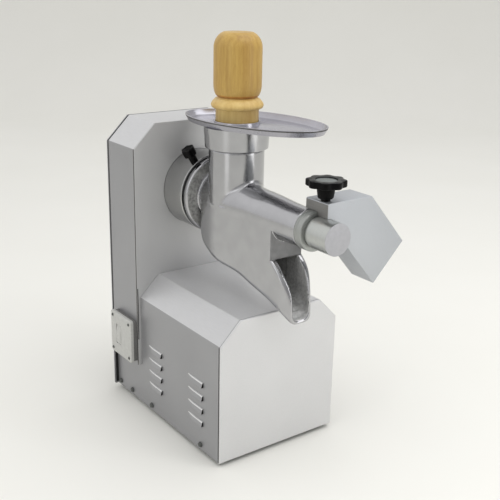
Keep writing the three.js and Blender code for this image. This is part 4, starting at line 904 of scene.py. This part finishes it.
def makeNozzle(s):
    f, e = s["front"], s["edge"]
    profile = [(s["bore"], s["rear"]), (s["flange"], s["rear"]), (s["flange"], s["flangeFront"]),
               (s["neck"], s["flangeFront"]), (s["neck"], s["neckFront"]),
               (s["radius"] - 0.4, s["neckFront"]), (s["radius"], s["neckFront"] - 0.4)]
    profile += bend(s["radius"], f, e)
    profile += [(0, f), (0, f + s["cap"]), (s["bore"], f + s["cap"]), (s["bore"], s["rear"])]
    tube = turned(profile, "y", (0, 0, axisHeight), 96)
    x, y, r = s["boss"]
    boss = rod(r, axisHeight + s["bossFoot"], s["bossTop"], "z", (x, y, 0), 40)
    piece = makePiece("nozzleTube", *tube, "mattTube", "outlet", ["outlet_nozzle"], slot="cast_polished")
    carve(piece, box(*s["slot"]))
    paintWhere(piece, "discFace", lambda c, n: c[1] < f + 0.4)
    makePiece("nozzleBoss", *boss, "mattTube", "outlet", [], slot="cast_polished")


makeCollar(collar)
makeRing(noseRing)
makeNozzle(nozzle)
print("turned pieces made")


# Feed tray

tray = {"rim": 478.0, "depth": 8.5, "centre": (18.0, -124.0), "half": (65.0, 120.0), "turn": 15.7,
        "slope": 5.0, "sheet": 1.5, "lipRadius": 31.6, "lipWall": 1.7, "lipHeight": 6.0,
        "socket": (39.3, 46.2, 48.0, 437.0), "tubeY": -107.0, "sides": 160}


def trayLoop(s, shrink, z):
    lean = radians(s["turn"])
    made = []
    for i in range(s["sides"]):
        t = 2 * pi * i / s["sides"]
        u = (s["half"][0] - shrink) * cos(t)
        v = (s["half"][1] - shrink) * sin(t)
        made.append((s["centre"][0] + u * cos(lean) - v * sin(lean),
                     s["centre"][1] + u * sin(lean) + v * cos(lean), z))
    return made


# Round, its points facing the tray's own
def circleLoop(s, r, z):
    made = []
    for x, y, _ in trayLoop(s, 0, 0):
        a = Vector((x, y - s["tubeY"]))
        a = a.normalized() * r
        made.append((a.x, s["tubeY"] + a.y, z))
    return made


def makeTray(s):
    rim, floor, sheet = s["rim"], s["rim"] - s["depth"], s["sheet"]
    under = [(s["slope"] + 1.5, floor - sheet), (s["slope"], floor - sheet + 0.3),
             (0.95, rim - sheet - 1.3), (0.35, rim - sheet - 0.2), (0.0, rim - sheet / 2),
             (0.35, rim - 0.1), (sheet * 0.8, rim), (sheet * 1.3, rim - 0.25),
             (s["slope"] + sheet * 0.6, floor + 1.2), (s["slope"] + sheet + 0.6, floor + 0.3),
             (s["slope"] + sheet + 3, floor)]
    loops = [trayLoop(s, shrink, z) for shrink, z in under]
    hole, outer = s["lipRadius"], s["lipRadius"] + s["lipWall"]
    top = floor + s["lipHeight"]
    circles = [(outer + 2.0, floor), (outer + 0.5, floor + 0.5), (outer, floor + 2.0), (outer, top - 0.6),
               (outer - 0.4, top), (hole + 0.4, top), (hole, top - 0.4), (hole, floor - sheet)]
    socketBore, foot, neck, low = s["socket"]
    circles += [(socketBore, floor - sheet), (socketBore, low), (foot - 0.4, low), (foot, low + 0.5),
                (neck, floor - sheet - 0.8), (neck + 0.8, floor - sheet)]
    loops += [circleLoop(s, r, z) for r, z in circles]
    loops += [loops[0]]
    piece = makePiece("feedTray", *skin(loops), "trayPolish", "tray", ["feed_tray", "tray_socket"],
                      slot="cast_polished")
    paintWhere(piece, "polishedCast", lambda c, n: c[2] < floor - sheet - 0.1)
    paintWhere(piece, "seamShade",
               lambda c, n: n.z < 0.2 and rim - sheet - 1.25 < c[2] < rim - sheet / 2 + 0.1)


makeTray(tray)
print("tray made")


# Pusher

pusher = {"foot": 390.8, "stem": 31.0,
          "bead": [(31.6, 0), (34.4, 0.5), (36.6, 1.8), (37.7, 4.0), (37.8, 5.6), (37.2, 7.6), (35.9, 9.6),
                   (33.9, 12.0), (31.6, 14.2), (29.2, 15.5)],
          "beadBottom": 493.0, "waist": 28.0, "grip": 34.5, "top": 599.0, "shoulder": (12.6, 21.0, 66.0),
          "flare": 17.0, "y": -107.0}


def makePusher(s):
    profile = [(0, s["foot"]), (s["stem"] - 3, s["foot"])]
    profile += [(s["stem"] - 3 + 3 * sin(t), s["foot"] + 3 - 3 * cos(t)) for t in quarter(5)[1:]]
    profile += [(s["stem"], s["beadBottom"] - 0.6)] + [(r, s["beadBottom"] + up) for r, up in s["bead"]]
    top = profile[-1][1]
    profile += [(s["waist"] + 0.3, top + 0.5), (s["waist"], top + 1.5)]
    for t in quarter(14)[1:]:
        profile.append((s["waist"] + (s["grip"] - s["waist"]) * sin(t),
                        top + 1.5 + s["flare"] * (1 - cos(t))))
    inward, down, last = s["shoulder"][0], s["shoulder"][1], radians(s["shoulder"][2])
    for t in np.linspace(0, last, 16):
        profile.append((s["grip"] - inward * (1 - cos(t)) / (1 - cos(last)),
                        s["top"] - 0.7 - down * (1 - sin(t) / sin(last))))
    edge = profile[-1][0]
    profile += [(edge - 1.2, s["top"] - 0.15), (edge - 2.6, s["top"]), (0, s["top"])]
    piece = makePiece("woodPusher", *turned(profile, "z", (0, s["y"], 0), 96), "turnedWood", "plunger",
                      ["pusher"], smoothAngle=50, slot="turned_wood")
    # stem and bead painted lighter: partly their own tone, partly painted light
    paintWhere(piece, "paleWood", lambda c, n: c[2] < top + 0.3)
    paintWhere(piece, "amberWood", lambda c, n: top + 0.3 < c[2] < top + 4.0)


makePusher(pusher)
print("pusher made")


# Pulp chute

chute = {"outline": [(0, 398), (0, 367.5), (8, 367.5), (91, 271), (143.3, 324.3), (77.8, 398)],
         "front": -311.5, "rear": -267.5, "wall": 1.5, "fold": 2.2, "corner": 1.3, "edge": 0.8, "mouth": 12,
         "holes": [(22.3, -316.5), (27.9, -291.6)], "holeEnd": -262.5, "way": 40,
         "stud": (7.8, -297.3, 3.3, 390, 402)}


def makeChute(s):
    outline, wall, edge = s["outline"], s["wall"], s["edge"]
    outer = filleted(outline, [s["fold"]] + [s["corner"]] * 4 + [s["fold"]], steps=5)
    loops = []
    profile = [(edge * (1 - sin(t)), edge * (1 - cos(t))) for t in quarter(5)]
    for shrink, step in profile:
        loops.append([(x, s["front"] + step, z) for x, z in inset(outer, shrink)])
    for shrink, step in reversed(profile):
        loops.append([(x, s["rear"] - step, z) for x, z in inset(outer, shrink)])
    piece = makePiece("pulpChute", *solid(loops), "chuteSheet", "chute", ["pulp_chute"],
                      slot="folded_sheet")
    inner = inset(outline, wall)
    out = (Vector(outline[4]) - Vector(outline[5])).normalized() * s["mouth"]
    inner[3] = tuple(Vector(inner[3]) + out)
    inner[4] = tuple(Vector(inner[4]) + out)
    hollow = solid([[(x, s["front"] + wall, z) for x, z in inner],
                    [(x, s["rear"] - wall, z) for x, z in inner]])
    end, z = s["holeEnd"], axisHeight
    holes = [rod(r, start, end, "y", (0, 0, z), 96) for r, start in s["holes"]]
    ways = [box(-3, r, start, end, z - s["way"], z) for r, start in s["holes"]]
    x, y, r, low, high = s["stud"]
    carve(piece, hollow, *holes, *ways, rod(r, low, high, "z", (x, y, 0), 32))
    # the chute's left flank near the ring is painted darker as shade
    paintWhere(piece, "chuteFlank", lambda c, n: c[0] < 9.0 and n.x < -0.3 and c[2] < 396.5)


makeChute(chute)
print("chute made")


# Black knobs

starKnob = {"place": (7.8, -297.3), "base": 398.3, "stud": 3.0, "studEnd": 376.0, "headBase": 418.0,
            "radius": 27.2, "thick": 9.0, "edge": 1.6, "lobes": 8, "depth": 3.0, "sides": 192,
            "stem": [(6.1, 0), (6.5, 0.4), (6.5, 3.0), (9.6, 3.6), (10.6, 5.0), (11.8, 13.0), (11.8, 19.7)],
            "dish": [(18.6, -0.1), (16.2, 0), (15.0, -0.6), (14.2, -1.8), (13.0, -2.0), (6.0, -1.5),
                     (0.2, -1.4)],
            "dishReach": 14, "rimReach": 21.5}


# Stem, lobed head and dished top, edges rounded
def knobLoops(s):
    base, top, edge, count = s["headBase"], s["headBase"] + s["thick"], s["edge"], s["sides"]

    def lobed(radius, depth, z):
        turns = [2 * pi * i / count for i in range(count)]
        reach = [radius - depth * (0.5 - 0.5 * cos(s["lobes"] * t)) for t in turns]
        return [(r * cos(t), r * sin(t), z) for r, t in zip(reach, turns)]

    lower = [lobed(s["radius"] - edge * (1 - sin(t)), s["depth"], base + edge * (1 - cos(t)))
             for t in quarter(6)]
    upper = [[(x, y, base + top - z) for x, y, z in loop] for loop in reversed(lower)]
    stem = [lobed(r, 0, s["base"] + up) for r, up in s["stem"]]
    return stem + lower + upper + [lobed(r, 0, top + up) for r, up in s["dish"]]


def makeStarKnob(s):
    top = s["headBase"] + s["thick"]
    x, y = s["place"]
    loops = [[(px + x, py + y, pz) for px, py, pz in loop] for loop in knobLoops(s)]
    knob = makePiece("starKnob", *solid(loops), "blackPlastic", "clamp_screw", ["star_knob"],
                     smoothAngle=50, slot="black_plastic")
    reach = lambda c: hypot(c[0] - x, c[1] - y)
    # the upward faces of the knob's top are painted as a sheen
    paintWhere(knob, "knobRim", lambda c, n: n.z > 0.8 and c[2] > top - 0.5 and reach(c) < s["rimReach"])
    # the dish is painted lighter grey as a highlight
    paintWhere(knob, "knobDish",
               lambda c, n: n.z > 0.8 and top - 3 < c[2] < top - 0.5 and reach(c) < s["dishReach"])
    stud = turned([(0, s["studEnd"]), (s["stud"] - 0.4, s["studEnd"]), (s["stud"], s["studEnd"] + 0.5),
                   (s["stud"], s["base"] + 1), (0, s["base"] + 1)], "z", (x, y, 0), 32)
    makePiece("starKnobStud", *stud, "darkScrew", "clamp_screw", [], slot="dark_screw")


lockKnob = {"angle": -31.5, "y": -42.0, "base": 44.3, "headBase": 72.0, "radius": 10.5, "thick": 12.0,
            "edge": 1.2, "lobes": 6, "depth": 1.6, "sides": 96,
            "stem": [(3.7, 0), (4.0, 0.3), (4.0, 16.0), (6.0, 16.0), (6.0, 27.7)],
            "dish": [(6.6, 0), (6.0, -0.7), (0.2, -0.9)]}


def makeLockKnob(s):
    a = radians(s["angle"])
    made = [[(px * cos(a) + pz * sin(a), py + s["y"], axisHeight - px * sin(a) + pz * cos(a))
             for px, py, pz in loop] for loop in knobLoops(s)]
    makePiece("lockKnob", *solid(made), "blackPlastic", "lock", ["lock_knob"], smoothAngle=50,
              slot="black_plastic")


makeStarKnob(starKnob)
makeLockKnob(lockKnob)
print("knobs made")


# Switch plate and rocker

switch = {"y": 35.5, "z": 114.0, "width": 67.0, "height": 72.0, "base": (-117.3, -111.3),
          "plate": (-122.6, -117.6), "corner": 4.0, "rocker": (15.0, 32.0), "rockerY": 43.5, "gap": 0.8,
          "plateEdge": 1.2, "boxEdge": 0.4, "rockerRear": -119.0}


def roundedPlate(y0, y1, z0, z1, x0, x1, corner, edge):
    outer = filleted([(y0, z0), (y1, z0), (y1, z1), (y0, z1)], corner, steps=6)
    loops = []
    for t in quarter(5):
        loops.append([(x0 + edge * (1 - cos(t)), y, z) for y, z in inset(outer, edge * (1 - sin(t)))])
    loops.append([(x1, y, z) for y, z in outer])
    return solid(loops)


def makeSwitch(s):
    hw, hh = s["width"] / 2, s["height"] / 2
    y, z = s["y"], s["z"]
    ry, (rw, rh) = s["rockerY"], s["rocker"]
    wide, tall = rw / 2 + s["gap"], rh / 2 + s["gap"]
    window = box(-130, -100, ry - wide, ry + wide, z - tall, z + tall)
    plate = makePiece("switchPlate", *roundedPlate(y - hw, y + hw, z - hh, z + hh, *s["plate"], s["corner"],
                                                   s["plateEdge"]),
                      "palePlastic", "base", ["switch_plate"], slot="pale_plastic")
    carve(plate, window)
    base = makePiece("switchBox", *roundedPlate(y - hw + 1, y + hw - 1, z - hh + 1, z + hh - 1, *s["base"],
                                                s["corner"], s["boxEdge"]),
                     "greyPlastic", "base", ["switch_box"], slot="grey_plastic")
    carve(base, window)
    loops = []
    for k in range(13):
        v = -rh / 2 + rh * k / 12
        dish = -2.3 + 1.5 * (2 * (k / 12) - 1) ** 2 - 1.2 * (1 - k / 12) + 1.2
        x = s["plate"][0] + dish + 1.0
        loops.append([(x + 0.5, ry - rw / 2, z + v), (x, ry - rw / 2 + 0.8, z + v),
                      (x, ry + rw / 2 - 0.8, z + v), (x + 0.5, ry + rw / 2, z + v),
                      (s["rockerRear"], ry + rw / 2, z + v), (s["rockerRear"], ry - rw / 2, z + v)])
    makePiece("switchRocker", *solid(loops), "palePlastic", "rocker", ["switch_rocker"],
              slot="pale_plastic")


makeSwitch(switch)
print("switch made")


# Carried-over solids keep their shape and get a finish

carried = {
    "galvanised": ["base_pan", "frame_plate", "rear_bearing_plate", "motor_cradle"],
    "polishedCast": ["auger", "strainer"],
    "machinedSteel": ["main_gear", "pinion", "main_shaft", "countershaft", "motor_shaft", "motor_pulley",
                      "counter_pulley", "main_bearing_front", "main_bearing_rear", "counter_bearing_front",
                      "counter_bearing_rear"],
    "motorPaint": ["motor_body"],
    "blackPlastic": ["cable_gland", "run_capacitor"],
    "blackRubber": ["v_belt", "foot_front_left", "foot_front_right", "foot_rear_left", "foot_rear_right"],
    "whiteSilicone": ["shaft_seal"],
}


def dress(names, material):
    for name in names:
        mesh = frame["nodes"][name].data
        mesh.materials.clear()
        mesh.materials.append(finish[material])


for material, names in carried.items():
    dress(names, material)
dress([name for name in frame["nodes"] if "screw_" in name], "darkScrew")
rideAll()
print("carried nodes dressed")


# Floor, light and world

studio = {"floor": "#f0efea", "floorB": "#ecebe5", "near": 2.6, "sweep": 1.0, "height": 1.3, "half": 7.0,
          "back": 4.0, "steps": 24}
lamps = {
    "topBox": {"place": (0.5, -0.7, 2.3), "aim": (0, 0, 0.3), "size": (2.2, 1.8), "watts": 20.0},
    "leftStrip": {"place": (-1.25, -0.35, 0.72), "aim": (0, 0, 0.35), "size": (0.4, 1.4), "watts": 1.2},
    "rightStrip": {"place": (0.75, -1.25, 0.72), "aim": (0, 0, 0.35), "size": (0.45, 1.4), "watts": 3.6},
}
skyLight = {"bright": 1.0, "dim": 0.42, "towards": (-0.3, 0.55, 0.78)}


# A floor that curves up into a wall behind the object
def makeBackdrop(s):
    material = bpy.data.materials.new("paleBackdrop")
    material.use_nodes = True
    n = Nodes(material.node_tree)
    shader = n.tree.nodes["Principled BSDF"]
    noise = n.add("ShaderNodeTexNoise", {"Vector": surfacePlace(n), "Scale": 3.0, "Detail": 2.0})
    tone = n.mixColor(noise.outputs[0], rgb(s["floor"]), rgb(s["floorB"]))
    n.tree.links.new(tone, shader.inputs["Base Color"])
    shader.inputs["Roughness"].default_value = 0.75
    shader.inputs["Specular IOR Level"].default_value = 0.15
    turn = radians(camera["azimuth"])
    away = Vector((-sin(turn), cos(turn), 0))
    side = Vector((cos(turn), sin(turn), 0))
    profile = [(-s["back"], 0), (s["near"], 0)]
    profile += [(s["near"] + s["sweep"] * sin(t), s["sweep"] * (1 - cos(t)))
                for t in quarter(s["steps"])[1:]]
    profile.append((s["near"] + s["sweep"], s["height"]))
    points = [away * d + side * w + Vector((0, 0, z - 0.0005)) for d, z in profile
              for w in (-s["half"], s["half"])]
    faces = [(2 * i, 2 * i + 1, 2 * i + 3, 2 * i + 2) for i in range(len(profile) - 1)]
    mesh = bpy.data.meshes.new("backdrop")
    mesh.from_pydata(points, [], faces)
    mesh.polygons.foreach_set("use_smooth", [True] * len(faces))
    mesh.materials.append(material)
    backdrop = bpy.data.objects.new("backdrop", mesh)
    bpy.context.scene.collection.objects.link(backdrop)


def makeLamp(name, s):
    data = bpy.data.lights.new(name, "AREA")
    data.shape = "RECTANGLE"
    data.size, data.size_y = s["size"]
    data.energy = s["watts"]
    lamp = bpy.data.objects.new(name, data)
    bpy.context.scene.collection.objects.link(lamp)
    lamp.location = s["place"]
    lamp.rotation_euler = (Vector(s["place"]) - Vector(s["aim"])).to_track_quat("Z", "Y").to_euler()


def makeSky(s):
    world = bpy.data.worlds.new("studioSky")
    bpy.context.scene.world = world
    world.use_nodes = True
    n = Nodes(world.node_tree)
    direction = n.add("ShaderNodeTexCoord").outputs["Generated"]
    facing = n.add("ShaderNodeVectorMath", {0: direction, 1: s["towards"]},
                   operation="DOT_PRODUCT").outputs["Value"]
    strength = n.add("ShaderNodeMapRange", {0: facing, 1: -0.3, 2: 0.9, 3: s["dim"], 4: s["bright"]})
    background = n.tree.nodes["Background"]
    background.inputs[0].default_value = (1, 1, 1, 1)
    n.tree.links.new(strength.outputs[0], background.inputs[1])


makeBackdrop(studio)
for name, s in lamps.items():
    makeLamp(name, s)
makeSky(skyLight)
bpy.context.scene.view_settings.view_transform = "Standard"
print("light set")
